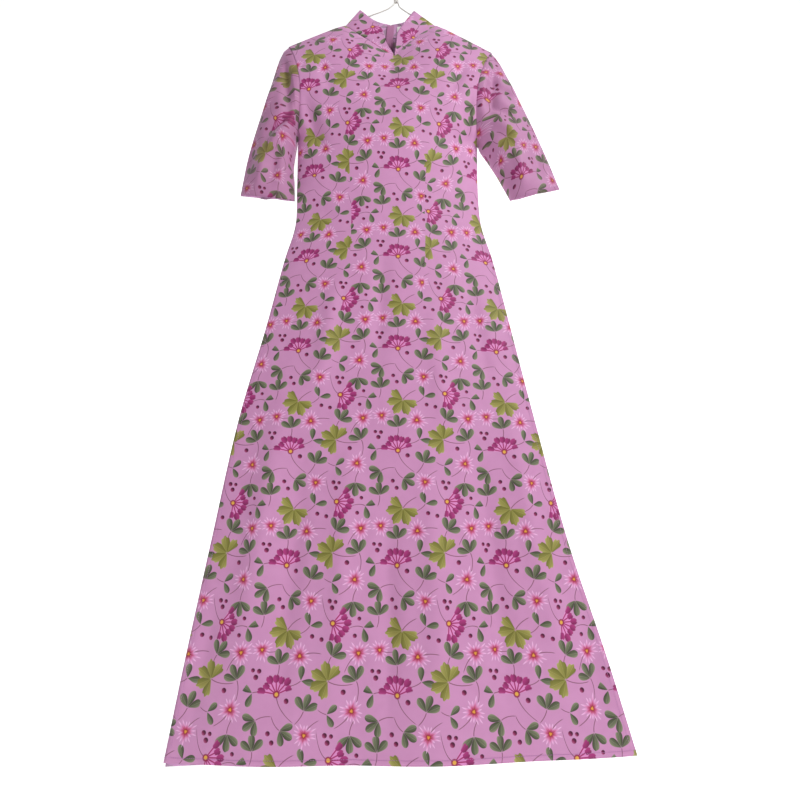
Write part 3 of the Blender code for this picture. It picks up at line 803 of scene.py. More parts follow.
    def stalk(self) -> NodeTree:
        """A thin stalk that leaves a motif's base backwards in a soft bend."""
        tree, given, result = new_group("Stalk", {
            "Own": "Vector", "Bend": "Float", "Reach": "Float", "Mask": "Float"}, {"Mask": "Float"})
        split = add_node(tree, "ShaderNodeSeparateXYZ", {0: given.outputs[0]})
        known = {"x": split.outputs[0], "y": split.outputs[1],
                 **{name: given.outputs[name] for name in ("Bend", "Reach", "Mask")}}
        work_out(tree, known, """
            xx = * x x; middle = * xx Bend; aside = - y middle; off = ABSOLUTE aside;
            fine = *+! off -1.6 1.45; behind = *! x -1.0; left = + x Reach; long = *! left 0.35;
            drawn = * fine behind; own = * drawn long; all = MAXIMUM own Mask
        """)
        tree.links.new(known["all"], result.inputs["Mask"])
        return tree

    def berry(self) -> NodeTree:
        """A round berry with a soft light on one side."""
        tree, result, known = self.motif_group("Berry")
        work_out(tree, known, "mask = *+! r -2.0 7.6; lit = + x y; tone = *+! lit -0.16 0.35")
        fill(tree, result, {"Mask": known["mask"], "Tone": known["tone"]})
        return tree

    def build(self) -> NodeTree:
        """The whole print: cloth metres in, colour out."""
        tree, given, result = new_group("Floral print", {"Cloth": "Vector"}, {"Colour": "Color"})
        place = self.placed()
        leaflet = self.leaflet()
        groups = {
            SPRIG: self.sprig(leaflet), DAISY: self.daisy(), FAN: self.fan(),
            PALM: self.palm(leaflet), BERRY: self.berry(),
        }
        cloth = add_node(tree, "ShaderNodeVectorMath", {0: given.outputs[0], "Scale": MM},
                         operation="SCALE")
        # The crepe's ground is mottled a little, as its dye takes unevenly.
        mottle = add_node(tree, "ShaderNodeTexNoise", {"Vector": cloth, "Scale": 0.045, "Detail": 2.0})
        colour: Any = add_node(tree, "ShaderNodeMix", {0: mottle, 6: linear(self.ground),
                               7: linear(self.ground_shade)}, data_type="RGBA").outputs[2]
        nearer, stalk_group, stalk = self.nearer(), self.stalk(), 0.0
        best: dict[MotifKind, Any] = {}
        for motif in self.motifs:
            raised = -0.4 if motif.leaves == 3 else 0.0
            own = add_node(tree, "ShaderNodeGroup", {
                "Cloth": cloth, "Centre": (motif.x, motif.y, raised), "Turn": math.radians(motif.turn),
                "Grow": 1 / motif.size}, node_tree=place)
            if motif.kind is not BERRY:
                stalk = add_node(tree, "ShaderNodeGroup", {"Own": own, "Bend": motif.bend,
                                 "Reach": motif.stalk, "Mask": stalk}, node_tree=stalk_group)
            before = best.get(motif.kind)
            best[motif.kind] = add_node(tree, "ShaderNodeGroup", {
                "Own": own, "Best": before.outputs[0] if before else (FAR, FAR, 0),
                "Least": before.outputs[1] if before else FAR}, node_tree=nearer)
        faint = add_node(tree, "ShaderNodeMath", {0: stalk, 1: 0.85}, operation="MULTIPLY")
        colour = add_node(tree, "ShaderNodeMix", {0: faint, 6: colour, 7: linear("6E4048")},
                          data_type="RGBA").outputs[2]
        ramps = {
            SPRIG: ((0.0, "2F3628"), (0.3, "4A4F3A"), (0.6, "6A7056"), (1.0, "ABA78E")),
            PALM: ((0.0, "575420"), (0.35, "7A7832"), (0.65, "97924A"), (1.0, "C6BE86")),
            BERRY: ((0.0, "4E0F34"), (0.5, "7C1E4C"), (1.0, "A84C78")),
            DAISY: ((0.0, "E2A548"), (0.10, "D98F3C"), (0.15, "8A2C2C"), (0.22, "A92F4C"),
                    (0.36, "C4507E"), (0.54, "DC8FC0"), (0.74, "EDBBE2"), (1.0, "F3D0EE")),
        }
        for kind, stops in ramps.items():
            drawn = add_node(tree, "ShaderNodeGroup", {"Own": best[kind]}, node_tree=groups[kind])
            ramp = add_node(tree, "ShaderNodeValToRGB", {0: drawn.outputs["Tone"]})
            elements = ramp.color_ramp.elements
            for k, (at, code) in enumerate(stops):
                element = elements[k] if k < 2 else elements.new(at)
                element.position = at
                element.color = linear(code)
            colour = add_node(tree, "ShaderNodeMix", {0: drawn.outputs["Mask"], 6: colour, 7: ramp},
                              data_type="RGBA").outputs[2]
        colour = add_node(tree, "ShaderNodeGroup", {"Own": best[FAN], "Colour": colour},
                          node_tree=groups[FAN]).outputs[0]
        tree.links.new(colour, result.inputs["Colour"])
        return tree


# ---- Finishes


@dataclass(frozen=True)
class PrintedCrepe:
    """Printed polyester crepe: a soft, nearly matt dress cloth with a fine grain and a faint sheen."""

    name: str
    reverse: bool = False
    roughness: float = 0.62  # crepe-twisted yarn scatters light widely
    sheen: float = 0.30  # loose fibre ends catch light along the edges
    grain_mm: float = 1.1  # the real grain is 0.4 mm, too fine to hold in a bake
    painted_shade: float = 0.0  # painted shade: how far this piece's colour is darkened towards deep plum, standing in for the shade it hangs in

    def make(self, print_tree: NodeTree, shift: tuple[float, float] = (0.0, 0.0)) -> Material:
        """Builds the material.

        Args:
            print_tree: the print's group.
            shift: where the print's repeat starts on this piece, in metres of cloth.

        Returns:
            The material.
        """
        material, tree, shader = new_material(self.name, {
            "Roughness": self.roughness, "Sheen Weight": self.sheen, "Sheen Roughness": 0.45,
            "Sheen Tint": linear("F3D8F0"), "Specular IOR Level": 0.32,
        })
        cloth = add_node(tree, "ShaderNodeUVMap", uv_map=CLOTH_MAP)
        placed = add_node(tree, "ShaderNodeMapping", {"Vector": cloth, "Location": (*shift, 0)})
        drawn = add_node(tree, "ShaderNodeGroup", {"Cloth": placed}, node_tree=print_tree)
        colour: Any = drawn.outputs[0]
        if self.reverse:
            # The dye comes through only faintly on the wrong side.
            colour = add_node(tree, "ShaderNodeMix", {0: 0.55, 6: colour, 7: linear("D3A3CF")},
                              data_type="RGBA").outputs[2]
        # Painted shade: the face's colour is darkened towards deep plum, for a piece that hangs in
        # shade.
        colour = add_node(tree, "ShaderNodeMix", {0: self.painted_shade, 6: colour, 7: linear("5A2438")},
                          data_type="RGBA").outputs[2]
        tree.links.new(colour, shader.inputs["Base Color"])
        fine = add_node(tree, "ShaderNodeVectorMath", {0: cloth, "Scale": MM / self.grain_mm},
                        operation="SCALE")
        threads = add_node(tree, "ShaderNodeTexNoise", {"Vector": fine, "Scale": 1.0, "Detail": 1.0})
        place = add_node(tree, "ShaderNodeTexCoord")
        rumple = add_node(tree, "ShaderNodeTexNoise", {"Vector": place.outputs["Object"], "Scale": 26.0,
                          "Detail": 2.0, "Roughness": 0.45})
        edge = add_node(tree, "ShaderNodeAttribute", attribute_name=EDGE_FIELD)
        known = {"fine": threads.outputs[0], "rumple": rumple.outputs[0], "d": edge.outputs["Fac"]}
        work_out(tree, known, f"""
            grain = * fine 0.00010; soft = *+ rumple 0.0011 grain; past = - {HEM} d;
            step = *! past 900.0; height = *+ step 0.0004 soft
        """)
        bump = add_node(tree, "ShaderNodeBump", {"Height": known["height"], "Strength": 0.8,
                        "Distance": 1.0})
        tree.links.new(bump.outputs[0], shader.inputs["Normal"])
        return material


@dataclass(frozen=True)
class PlainFinish:
    """A plain finish with a fine mottle: thread, tape, coating or metal."""

    name: str
    colour: str
    shade: str
    roughness: float
    metallic: float = 0.0
    coat: float = 0.0
    grain_mm: float = 0.8
    depth_mm: float = 0.05
    sheen: float = 0.0
    glow: float = 0.0

    def make(self) -> Material:
        """Builds the material."""
        material, tree, shader = new_material(self.name, {
            "Metallic": self.metallic, "Coat Weight": self.coat, "Sheen Weight": self.sheen,
            "Emission Color": linear("FFFFFF"), "Emission Strength": self.glow,
        })
        place = add_node(tree, "ShaderNodeTexCoord")
        noise = add_node(tree, "ShaderNodeTexNoise", {"Vector": place.outputs["Object"],
                         "Scale": MM / self.grain_mm, "Detail": 2.0})
        colour = add_node(tree, "ShaderNodeMix", {0: noise, 6: linear(self.colour),
                          7: linear(self.shade)}, data_type="RGBA").outputs[2]
        tree.links.new(colour, shader.inputs["Base Color"])
        known = {"n": noise.outputs[0]}
        work_out(tree, known, f"""
            rough = *+ n 0.12 {self.roughness - 0.06}; height = * n {self.depth_mm / MM}
        """)
        tree.links.new(known["rough"], shader.inputs["Roughness"])
        bump = add_node(tree, "ShaderNodeBump", {"Height": known["height"], "Strength": 1.0,
                        "Distance": 1.0})
        tree.links.new(bump.outputs[0], shader.inputs["Normal"])
        return material


@dataclass
class Wardrobe:
    """All the garment's finished materials."""

    floral: NodeTree = field(default_factory=FloralPrint().build)
    # Spun polyester thread, a shade deeper than the cloth.
    thread: Material = field(
        default_factory=PlainFinish("lilac_thread", "C185BC", "A96BA4", 0.55, sheen=0.2).make)
    # Woven polyester tape, slightly duller than the crepe.
    tape: Material = field(default_factory=PlainFinish(
        "lilac_zip_tape", "BA7AA4", "A6668F", 0.72, depth_mm=0.12, sheen=0.2).make)
    # A nylon monofilament coil, smooth and a little see-through; here only glossy.
    coil: Material = field(
        default_factory=PlainFinish("lilac_zip_coil", "B478AE", "A468A0", 0.38, coat=0.2).make)
    # Enamelled zinc: paint over die-cast metal, with a soft gloss.
    metal: Material = field(default_factory=PlainFinish(
        "lilac_enamel", "A8709F", "97608F", 0.34, metallic=0.35, coat=0.4).make)
    # A woven white satin label.
    label: Material = field(default_factory=PlainFinish(
        "white_woven_label", "F4F2EF", "E2DFDC", 0.6, depth_mm=0.1, sheen=0.3).make)
    # Dipped PVC over steel wire: smooth, with a broad gloss.
    coating: Material = field(default_factory=PlainFinish(
        "white_wire_coating", "E2E0DB", "D2CFC9", 0.36, coat=0.3, grain_mm=4.0).make)

    def crepe(self, name: str, shift: tuple[float, float], painted_shade: float = 0.0) -> list[Material]:
        """The printed face, darkened by any painted shade, and the paler reverse for one piece."""
        face = PrintedCrepe(f"{name}_crepe", painted_shade=painted_shade).make(self.floral, shift)
        back = PrintedCrepe(f"{name}_crepe_reverse", reverse=True).make(self.floral, shift)
        return [face, back]


# ---- The cloth pieces


@dataclass
class Panels:
    """The front panel and the two halves of the back."""

    form: TunicForm
    wardrobe: Wardrobe
    columns: int = 96
    skirt_rows: int = 112
    yoke_rows: int = 44
    dart_fraction: float = 0.45
    finer_by_edges: float = 1.15
    finer_by_top: float = 1.5
    mean_top: float = -0.17
    # Half of what a dart takes in at the waist.
    intake: dict[Face, float] = field(default_factory=lambda: {Face.FRONT: 0.011, Face.BACK: 0.008})
    dart_lines: dict[Side, tuple[tuple[float, float], ...]] = field(
        default_factory=lambda: {
            Side.LEFT: ((-1.455, -0.330), (-0.729, -0.3385), (-0.664, -0.3576), (-0.593, -0.384),
                        (-0.459, -0.409), (-0.418, -0.452), (-0.35, -0.470), (-0.14, -0.45)),
            Side.RIGHT: ((-1.455, 0.280), (-0.792, 0.2827), (-0.704, 0.3206), (-0.609, 0.3827),
                         (-0.5445, 0.401), (-0.411, 0.462), (-0.35, 0.468), (-0.14, 0.45)),
        }
    )
    dart_ends: dict[Side, tuple[float, float]] = field(
        default_factory=lambda: {Side.LEFT: (-0.418, -0.735), Side.RIGHT: (-0.411, -0.795)}
    )
    dart_waist: float = -0.56
    zip_half_opening: float = 0.0010
    zip_bottom: float = -0.620
    seam_half_gap: float = 0.00025
    no_edge: float = 0.03  # an edge distance past the hem's depth, where nothing is turned
    # Shares of the half width over which creases fade: by a slit edge, a side seam and an armhole.
    calm_reach: tuple[float, float, float] = (0.04, 0.07, 0.10)
    calm_top: tuple[float, float] = (-0.235, 0.03)

    def dart_at(self, side: Side, z: float) -> float:
        """Where across the panel a dart's line runs at a height."""
        line = self.dart_lines[side]
        for (low, a), (high, b) in zip(line, line[1:]):
            if z <= high:
                return mix(a, b, limit((z - low) / (high - low)))
        return line[-1][1]

    def intake_at(self, face: Face, side: Side, z: float) -> float:
        """The width of cloth that a dart takes in at a height."""
        top, tip = self.dart_ends[side]
        end = tip if z < self.dart_waist else top
        share = (z - end) / (self.dart_waist - end)
        return self.intake[face] * 2 * smooth(share) if tip < z < top else 0.0

    def across_at(self, fraction: float, z: float) -> float:
        """The place across a panel of a grid column at a height, bent so that one follows each dart."""
        knots = ((-1.0, -1.0), (-self.dart_fraction, self.dart_at(Side.LEFT, z)),
                 (self.dart_fraction, self.dart_at(Side.RIGHT, z)), (1.0, 1.0))
        for (low, a), (high, b) in zip(knots, knots[1:]):
            if fraction <= high:
                return mix(a, b, (fraction - low) / (high - low))
        return 1.0

    def fractions(self) -> list[float]:
        """The grid's columns, with one on each dart and finer ones by the edges."""
        inner = self.dart_fraction
        middle = round(self.columns * inner)
        outer = (self.columns - middle) // 2
        side = [-1 + (1 - inner) * (i / outer) ** self.finer_by_edges for i in range(outer)]
        core = [-inner + 2 * inner * i / middle for i in range(middle + 1)]
        return [*side, *core, *(-value for value in reversed(side))]

    def grid(self, face: Face) -> tuple[Loft, int]:
        """The whole front's or back's surface from the hem up.

        Args:
            face: front or back.

        Returns:
            The surface and its middle column.
        """
        form, fractions = self.form, self.fractions()
        levels = [mix(form.hem, form.underarm, i / self.skirt_rows) for i in range(self.skirt_rows)]
        levels += [form.hem + HEM / 2, form.hem + HEM]
        rows: list[list[Vector]] = []
        heights: list[float] = []
        for z in sorted(levels):
            rows.append([form.skirt_point(face, self.across_at(f, z), z) for f in fractions])
            heights.append(z)
        for i in range(self.yoke_rows + 1):
            rise = 1 - (1 - i / self.yoke_rows) ** self.finer_by_top
            z = mix(form.underarm, self.mean_top, rise)
            rows.append([form.yoke_point(face, self.across_at(f, z), rise) for f in fractions])
            heights.append(z)
        for row in rows:
            for point in row:
                lift = sum(crease.at(point.x, point.z) for crease in BODY_CREASES[face])
                point.y += face.value * lift * self.calm(point)
        flat, edge = [], []
        left_dart, middle, right_dart = (
            min(range(len(fractions)), key=lambda k: abs(fractions[k] - place))
            for place in (-self.dart_fraction, 0, self.dart_fraction))
        for z, row in zip(heights, rows):
            places = [0.0] * len(row)
            for way, end in ((1, len(row)), (-1, -1)):
                for k in range(middle + way, end, way):
                    step = row[k] - row[k - way]
                    places[k] = places[k - way] + way * math.hypot(step.x, step.y)
            flat.append([(u + row[middle].x, p.z) for u, p in zip(places, row)])
            hem = z - form.hem
            ends = [min(abs(u - places[0]), abs(places[-1] - u)) for u in places]
            edge.append([min(hem, d) if z < form.slit_top else max(hem, self.no_edge) for d in ends])
        intake = [tuple(self.intake_at(face, side, z) for side in Side) for z in heights]
        return Loft(rows, flat, edge, darts=(left_dart, right_dart), intake=intake), middle

    def calm(self, point: Vector) -> float:
        """How freely the cloth may crease: not at all along seams that other pieces meet."""
        slit, seam, armhole = self.calm_reach
        row = self.form.section(min(point.z, self.form.underarm))
        off = 1 - abs(point.x - (row.left + row.right) / 2) / ((row.right - row.left) / 2)
        if point.z < self.form.underarm:
            return smooth(off / (seam if point.z > self.form.slit_top else slit))
        top, reach = self.calm_top
        return smooth(off / armhole) * smooth((top - point.z) / reach)

    def half(self, loft: Loft, side: Side, column: int) -> Loft:
        """One half of the back, its inner edge drawn off the centre line."""
        left = side is Side.LEFT
        span, inner, start = (slice(column + 1), -1, 0) if left else (slice(column, None), 0, column)
        rows = [[point.copy() for point in row[span]] for row in loft.points]
        for row in rows:
            part = self.zip_half_opening if row[inner].z > self.zip_bottom else self.seam_half_gap
            row[inner].x += side.value * part
        return Loft(rows, [row[span] for row in loft.flat], [row[span] for row in loft.edge],
                    darts=(loft.darts[0] - start, loft.darts[1] - start), intake=loft.intake)

    def build(self) -> dict[Face, Loft]:
        front, column = self.grid(Face.FRONT)
        back, _ = self.grid(Face.BACK)
        left, right = (self.half(back, side, column) for side in Side)
        pieces = {
            "front": (front, Face.FRONT, (0.031, 0.012), (0.69, 1.36), 0.60),
            "back_left": (left, Face.BACK, (0.118, 0.055), (0.36, 1.37), 0.31),
            "back_right": (right, Face.BACK, (0.064, 0.101), (0.36, 1.37), 0.31),
        }
        for name, (loft, face, shift, flat, area) in pieces.items():
            panel = add_cloth(f"{name}_cloth", loft, lambda _, face=face: Vector((0, face.value, 0)),
                              self.wardrobe.crepe(name, shift),
                              tuple(f"{name}_{part}" for part in ("bodice", "hip", "skirt")))
        return {Face.FRONT: front, Face.BACK: back}


@dataclass(frozen=True)
class SleeveRow:
    """A ring of a sleeve, between its outer fold and its inner seam."""

    share: float
    outer_x: float
    outer_z: float
    inner_x: float
    inner_z: float
    front: float
    back: float
    droop: float

    def middle(self) -> Vector:
        """The ring's middle."""
        return Vector((self.outer_x + self.inner_x, 0, self.outer_z + self.inner_z)) / 2


@dataclass
class Sleeve:
    """An elbow-length set-in sleeve, hung empty: one shell closed by its inner seam."""

    form: TunicForm
    wardrobe: Wardrobe
    side: Side
    name: str
    rows: tuple[SleeveRow, ...]
    creases: tuple[Crease, ...]
    shift: tuple[float, float]
    flat: tuple[float, float]
    area: float
    # How far the sleeve's face is darkened as painted shade.
    painted_shade: float
    points: int = 36
    between: int = 8
    seam_step: float = -0.0014
    seam_tuck: float = 0.0006
    length: float = 0.33
    loft: Loft | None = None

    def ring(self, row: SleeveRow) -> list[Vector]:
        """A ring from the inner seam, up the back to the outer fold and down the front."""
        ring = []
        for face in (Face.BACK, Face.FRONT):
            reach = row.front if face is Face.FRONT else row.back
            for i in range(self.points):
                share = i / self.points if face is Face.FRONT else 1 - i / self.points
                around = max(math.sin(math.pi * share), 0)
                down = mix(share, (1 - math.cos(math.pi * share)) / 2, row.share)
                scoop = self.side.value * self.form.armhole_scoop * around * (1 - row.share) ** 2
                ring.append(Vector((
                    mix(row.outer_x, row.inner_x, down) - scoop,
                    face.value * reach * around ** mix(self.form.armhole_round, 1, row.share),
                    mix(row.outer_z, row.inner_z, down) + face.value * row.droop * around,
                )))
        return ring

    def seam_ring(self) -> list[Vector]:
        """The armhole's seam as a ring that matches the sleeve's."""
        shares = [i / self.points for i in range(self.points)]
        back = [self.form.armhole_point(self.side, Face.BACK, 1 - share) for share in shares]
        front = [self.form.armhole_point(self.side, Face.FRONT, share) for share in shares]
        for end in (front[0], back[0]):
            end.y = 0
        return back + front

    def build(self) -> None:
        keys = [row.share for row in self.rows]
        shares = [mix(low, high, k / self.between)
                  for low, high in zip(keys, keys[1:]) for k in range(self.between)]
        shares += [1 - HEM / self.length, 1.0]
        names = list(SleeveRow.__dataclass_fields__)[1:]
        rings = [self.ring(SleeveRow(s, *(read_between(self.rows, keys, s, n) for n in names)))
                 for s in sorted(shares)]
        outward = Vector((self.side.value, 0, 0))
        seam = [a + ((b - a).normalized() + outward).normalized() * self.seam_step
                - Vector((0, math.copysign(min(self.seam_tuck, abs(a.y)), a.y), 0))
                for a, b in zip(self.seam_ring(), rings[0])]
        rings = [seam, [a.lerp(b, 0.5) for a, b in zip(seam, rings[0])], *rings]
        for k, ring in enumerate(rings):
            calm = smooth((k - 1) / 6)
            for j, point in enumerate(ring):
                face = -1 if j >= self.points else 1
                part = abs((j % self.points) / self.points - 0.5) * 2
                lift = sum(crease.at(point.x, point.z) for crease in self.creases)
                point.y += face * lift * calm * smooth((1 - part) / 0.25)
        axis = (self.rows[-1].middle() - self.rows[0].middle()).normalized()
        flat = []
        for ring in rings:
            places = [0.0]
            for k in range(len(ring)):
                step = ring[(k + 1) % len(ring)] - ring[k]
                places.append(places[-1] + math.sqrt(max(step.length_squared - step.dot(axis) ** 2, 0)))
            outer = places[self.points]
            along = [-point.dot(axis) for point in (*ring, ring[0])]
            flat.append([(u - outer, v) for u, v in zip(places, along)])
        lengths = [0.0]
        for low, high in zip(rings, rings[1:]):
            lengths.append(lengths[-1] + (high[self.points] - low[self.points]).length)
        edge = [[lengths[-1] - length] * len(ring) for length, ring in zip(lengths, rings)]
        self.loft = Loft(rings, flat, edge, closed=True)
        middle = self.rows[2].middle()
        sleeve = add_cloth(f"{self.name}_cloth", self.loft, lambda centre: centre - middle,
                           self.wardrobe.crepe(self.name, self.shift, self.painted_shade), (self.name,))


@dataclass(frozen=True)
class CollarRib:
    """A rib of a collar half, from the neck seam to the free edge."""

    bx: float
    by: float
    bz: float
    tx: float
    ty: float
    tz: float


@dataclass
class Collar:
    """One half of the stand collar, from the notch in front to the zip behind."""

    wardrobe: Wardrobe
    name: str
    side: Side
    ribs: tuple[CollarRib, ...]
    shift: tuple[float, float]
    flat: tuple[float, float]
    area: float
    steps: int = 72
    levels: int = 10
    seam_step: float = -0.0012
    thicker: float = 0.0002
    no_edge: float = 0.004  # kept off the free edge, so that the collar's is turned less deep
    centre: tuple[float, float, float] = (-0.012, 0.0, -0.14)

    def build(self) -> None:
        keys = list(range(len(self.ribs)))
        names = list(CollarRib.__dataclass_fields__)
        rows = []
        for i in range(self.steps + 1):
            found = [read_between(self.ribs, keys, keys[-1] * i / self.steps, name) for name in names]
            base, top = Vector(found[:3]), Vector(found[3:])
            start = base + (top - base).normalized() * min(self.seam_step, (top - base).length / 3)
            rows.append([start.lerp(top, k / self.levels) for k in range(self.levels + 1)])
        flat, edge, u = [], [], 0.0
        middle = self.levels // 2
        for k, row in enumerate(rows):
            if k:
                u += (row[middle] - rows[k - 1][middle]).length
            tall = (row[-1] - row[0]).length
            flat.append([(u * self.side.value, (point - row[0]).length) for point in row])
            edge.append([tall * (1 - j / self.levels) + self.no_edge for j in range(len(row))])
        collar = add_cloth(f"{self.name}_cloth", Loft(rows, flat, edge),
                           lambda place: place - Vector(self.centre),
                           self.wardrobe.crepe(self.name, self.shift), (self.name,),
                           thickness=WALL + self.thicker)


# ---- What repeats along a path


@dataclass
class BarsOnPath:
    """Small rounded bars set at even steps along paths: stitches that follow it, or zip teeth."""

    name: str
    material: Material
    pitch: float
    length: float
    radius: float
    across: bool = False

    def tree(self) -> NodeTree:
        """The Geometry Nodes tree that sets the bars."""
        tree, given, result = new_group(
            self.name, {"Geometry": "Geometry", "Pitch": "Float", "Length": "Float", "Radius": "Float"},
            {"Geometry": "Geometry"}, "GeometryNodeTree")
        path = add_node(tree, "GeometryNodeMeshToCurve", {"Mesh": given.outputs["Geometry"]})
        spaced = add_node(tree, "GeometryNodeResampleCurve",
                          {"Curve": path, "Length": given.outputs["Pitch"]}, mode="LENGTH")
        bar = add_node(tree, "GeometryNodeMeshCylinder",
                       {"Vertices": 6, "Side Segments": 3, "Radius": given.outputs["Radius"],
                        "Depth": given.outputs["Length"]}, fill_type="NGON")
        place = add_node(tree, "GeometryNodeInputPosition")
        split = add_node(tree, "ShaderNodeSeparateXYZ", {0: place})
        known = {"z": split.outputs[2], "length": given.outputs["Length"]}
        work_out(tree, known, """
            half = * length 0.5; share = / z half; square = * share share;
            taper = *+ square -0.55 1.0
        """)
        scale = add_node(tree, "ShaderNodeCombineXYZ", {0: known["taper"], 1: known["taper"], 2: 1.0})
        shaped = add_node(tree, "ShaderNodeVectorMath", {0: place, 1: scale}, operation="MULTIPLY")
        rounded = add_node(tree, "GeometryNodeSetPosition", {"Geometry": bar.outputs["Mesh"],
                           "Position": shaped})
        if self.across:
            turn: Any = add_node(tree, "FunctionNodeEulerToRotation", {0: (0.0, math.pi / 2, 0.0)})
        else:
            tangent = add_node(tree, "GeometryNodeInputTangent")
            turn = add_node(tree, "FunctionNodeAlignRotationToVector", {"Vector": tangent}, axis="Z")
        set_out = add_node(tree, "GeometryNodeInstanceOnPoints", {"Points": spaced, "Instance": rounded,
                           "Rotation": turn})
        real = add_node(tree, "GeometryNodeRealizeInstances", {"Geometry": set_out})
        dressed = add_node(tree, "GeometryNodeSetMaterial",
                           {"Geometry": real, "Material": self.material})
        fill(tree, result, {0: add_node(tree, "GeometryNodeSetShadeSmooth", {"Geometry": dressed})})
        return tree

    def build(self, paths: Sequence[Sequence[Vector]]) -> Object:
        """Sets the bars along the paths as one plain mesh.

        Args:
            paths: each a run of points.

        Returns:
            The joined bars.
        """
        points = [point for path in paths for point in path]
        edges, start = [], 0
        for path in paths:
            edges += [(start + k, start + k + 1) for k in range(len(path) - 1)]
            start += len(path)
        mesh = bpy.data.meshes.new(f"{self.name}_path")
        mesh.from_pydata(points, edges, [])
        guide = add_object(f"{self.name}_path", mesh)
        modifier = guide.modifiers.new("bars", "NODES")
        modifier.node_group = tree = self.tree()
        sizes = {"Pitch": self.pitch, "Length": self.length, "Radius": self.radius}
        for item in tree.interface.items_tree:
            if item.in_out == "INPUT" and item.name in sizes:
                modifier[item.identifier] = sizes[item.name]
        return baked(guide, self.name)


def baked(thing: Object, name: str) -> Object:
    """Turns an evaluated object into a plain mesh object and removes the original.

    Args:
        thing: the curve or modified object.
        name: the new object's name.

    Returns:
        The plain mesh object.
    """
    bpy.context.view_layer.update()
    graph = bpy.context.evaluated_depsgraph_get()
    mesh = bpy.data.meshes.new_from_object(thing.evaluated_get(graph), depsgraph=graph)
    mesh.name = name
    bpy.data.objects.remove(thing)
    return add_object(name, mesh)


@dataclass
class Stitching:
    """The topstitched hems of the panels and sleeves."""

    form: TunicForm
    wardrobe: Wardrobe
    pitch: float = 0.0034
    length: float = 0.0026
    radius: float = 0.00028
    sunk: float = 0.4  # how far off the surface a stitch's middle lies, in its radii

    def off_surface(self, loft: Loft, i: int, j: int, point: Vector, outward: Vector) -> Vector:
        """A point moved out to the cloth's surface.

        Args:
            loft: the surface.
            i: the row it lies on.
            j: the column beside it.
            point: the point on the middle of the wall.
            outward: the rough outward direction.

        Returns:
            The point just proud of the cloth.
        """
        rows = loft.points
        count, last = len(rows[0]), len(rows) - 1
        right = rows[i][(j + 1) % count] if loft.closed else rows[i][min(j + 1, count - 1)]
        left = rows[i][j - 1] if loft.closed else rows[i][max(j - 1, 0)]
        normal = (right - left).cross(rows[min(i + 1, last)][j] - rows[max(i - 1, 0)][j]).normalized()
        if normal.dot(outward) < 0:
            normal.negate()
        return point + normal * (WALL / 2 + self.radius * self.sunk)

    def hem(self, loft: Loft, outward: Vector) -> list[Vector]:
        """The line a hem's width above a panel's lower edge."""
        row = next(k for k, edge in enumerate(loft.edge) if edge[len(edge) // 2] >= HEM - 1e-6)
        return [self.off_surface(loft, row, j, point, outward)
                for j, point in enumerate(loft.points[row])]

    def slit(self, loft: Loft, side: Side, outward: Vector) -> list[Vector]:
        """The line a hem's width inside a panel's slit edge."""
        line = []
        for i, row in enumerate(loft.points):
            if not self.form.hem + HEM < row[0].z < self.form.slit_top:
                continue
            order = range(len(row)) if side is Side.LEFT else range(len(row) - 1, -1, -1)
            gone = 0.0
            for before, j in zip(order, order[1:]):
                step = (row[j] - row[before]).length
                if gone + step >= HEM:
                    point = row[before].lerp(row[j], (HEM - gone) / step)
                    line.append(self.off_surface(loft, i, j, point, outward))
                    break
                gone += step
        return line

    def cuff(self, sleeve: Sleeve) -> list[Vector]:
        """The line a hem's width above a sleeve's lower edge."""
        loft = sleeve.loft
        row = next(k for k in range(len(loft.points)) if loft.edge[k][0] <= HEM + 1e-4)
        ring = loft.points[row]
        centre = sum(ring, Vector()) / len(ring)
        line = [self.off_surface(loft, row, j, point, point - centre) for j, point in enumerate(ring)]
        return [*line, line[0]]


# ---- Zip, label and hanger


def outline_solid(name: str, outlines: Sequence[Sequence[tuple[float, float]]], thickness: float,
                  bevel: float) -> Object:
    """A flat outline, with any holes, given a thickness along Y and rounded edges.

    Args:
        name: the piece's name.
        outlines: closed lines of (x, z), the holes inside the first.
        thickness: the whole thickness.
        bevel: the radius of the rounded edges.

    Returns:
        The plain mesh object, centred on Y = 0.
    """
    curve = bpy.data.curves.new(name, "CURVE")
    curve.dimensions = "2D"
    curve.fill_mode = "BOTH"
    curve.extrude = thickness / 2 - bevel
    curve.bevel_depth = bevel
    curve.bevel_resolution = 2
    curve.offset = -bevel
    for outline in outlines:
        line = curve.splines.new("POLY")
        line.points.add(len(outline) - 1)
        for point, (x, z) in zip(line.points, outline):
            point.co = (x, z, 0, 1)
        line.use_cyclic_u = True
    solid = baked(add_object(name, curve), name)
    for vertex in solid.data.vertices:
        x, z, y = vertex.co
        vertex.co = (x, -y, z)
    solid.data.update()
    return solid


def arc(x: float, z: float, radius: float, start: float, end: float,
        steps: int) -> list[tuple[float, float]]:
    """Points of an arc in the XZ plane, at angles in degrees from +X."""
    angles = [math.radians(mix(start, end, k / steps)) for k in range(steps + 1)]
    return [(x + radius * math.cos(a), z + radius * math.sin(a)) for a in angles]


def rounded_box(width: float, low: float, high: float, radius: float) -> list[tuple[float, float]]:
    """The outline of an upright rounded rectangle centred on X = 0.

    Args:
        width: its whole width.
        low: its lower edge.
        high: its upper edge.
        radius: its corners' radius.

    Returns:
        The outline's points.
    """
    half, top, bottom = width / 2 - radius, high - radius, low + radius
    corners = ((half, top, 0), (-half, top, 90), (-half, bottom, 180), (half, bottom, 270))
    return [point for x, z, a in corners for point in arc(x, z, radius, a, a + 90, 5)]


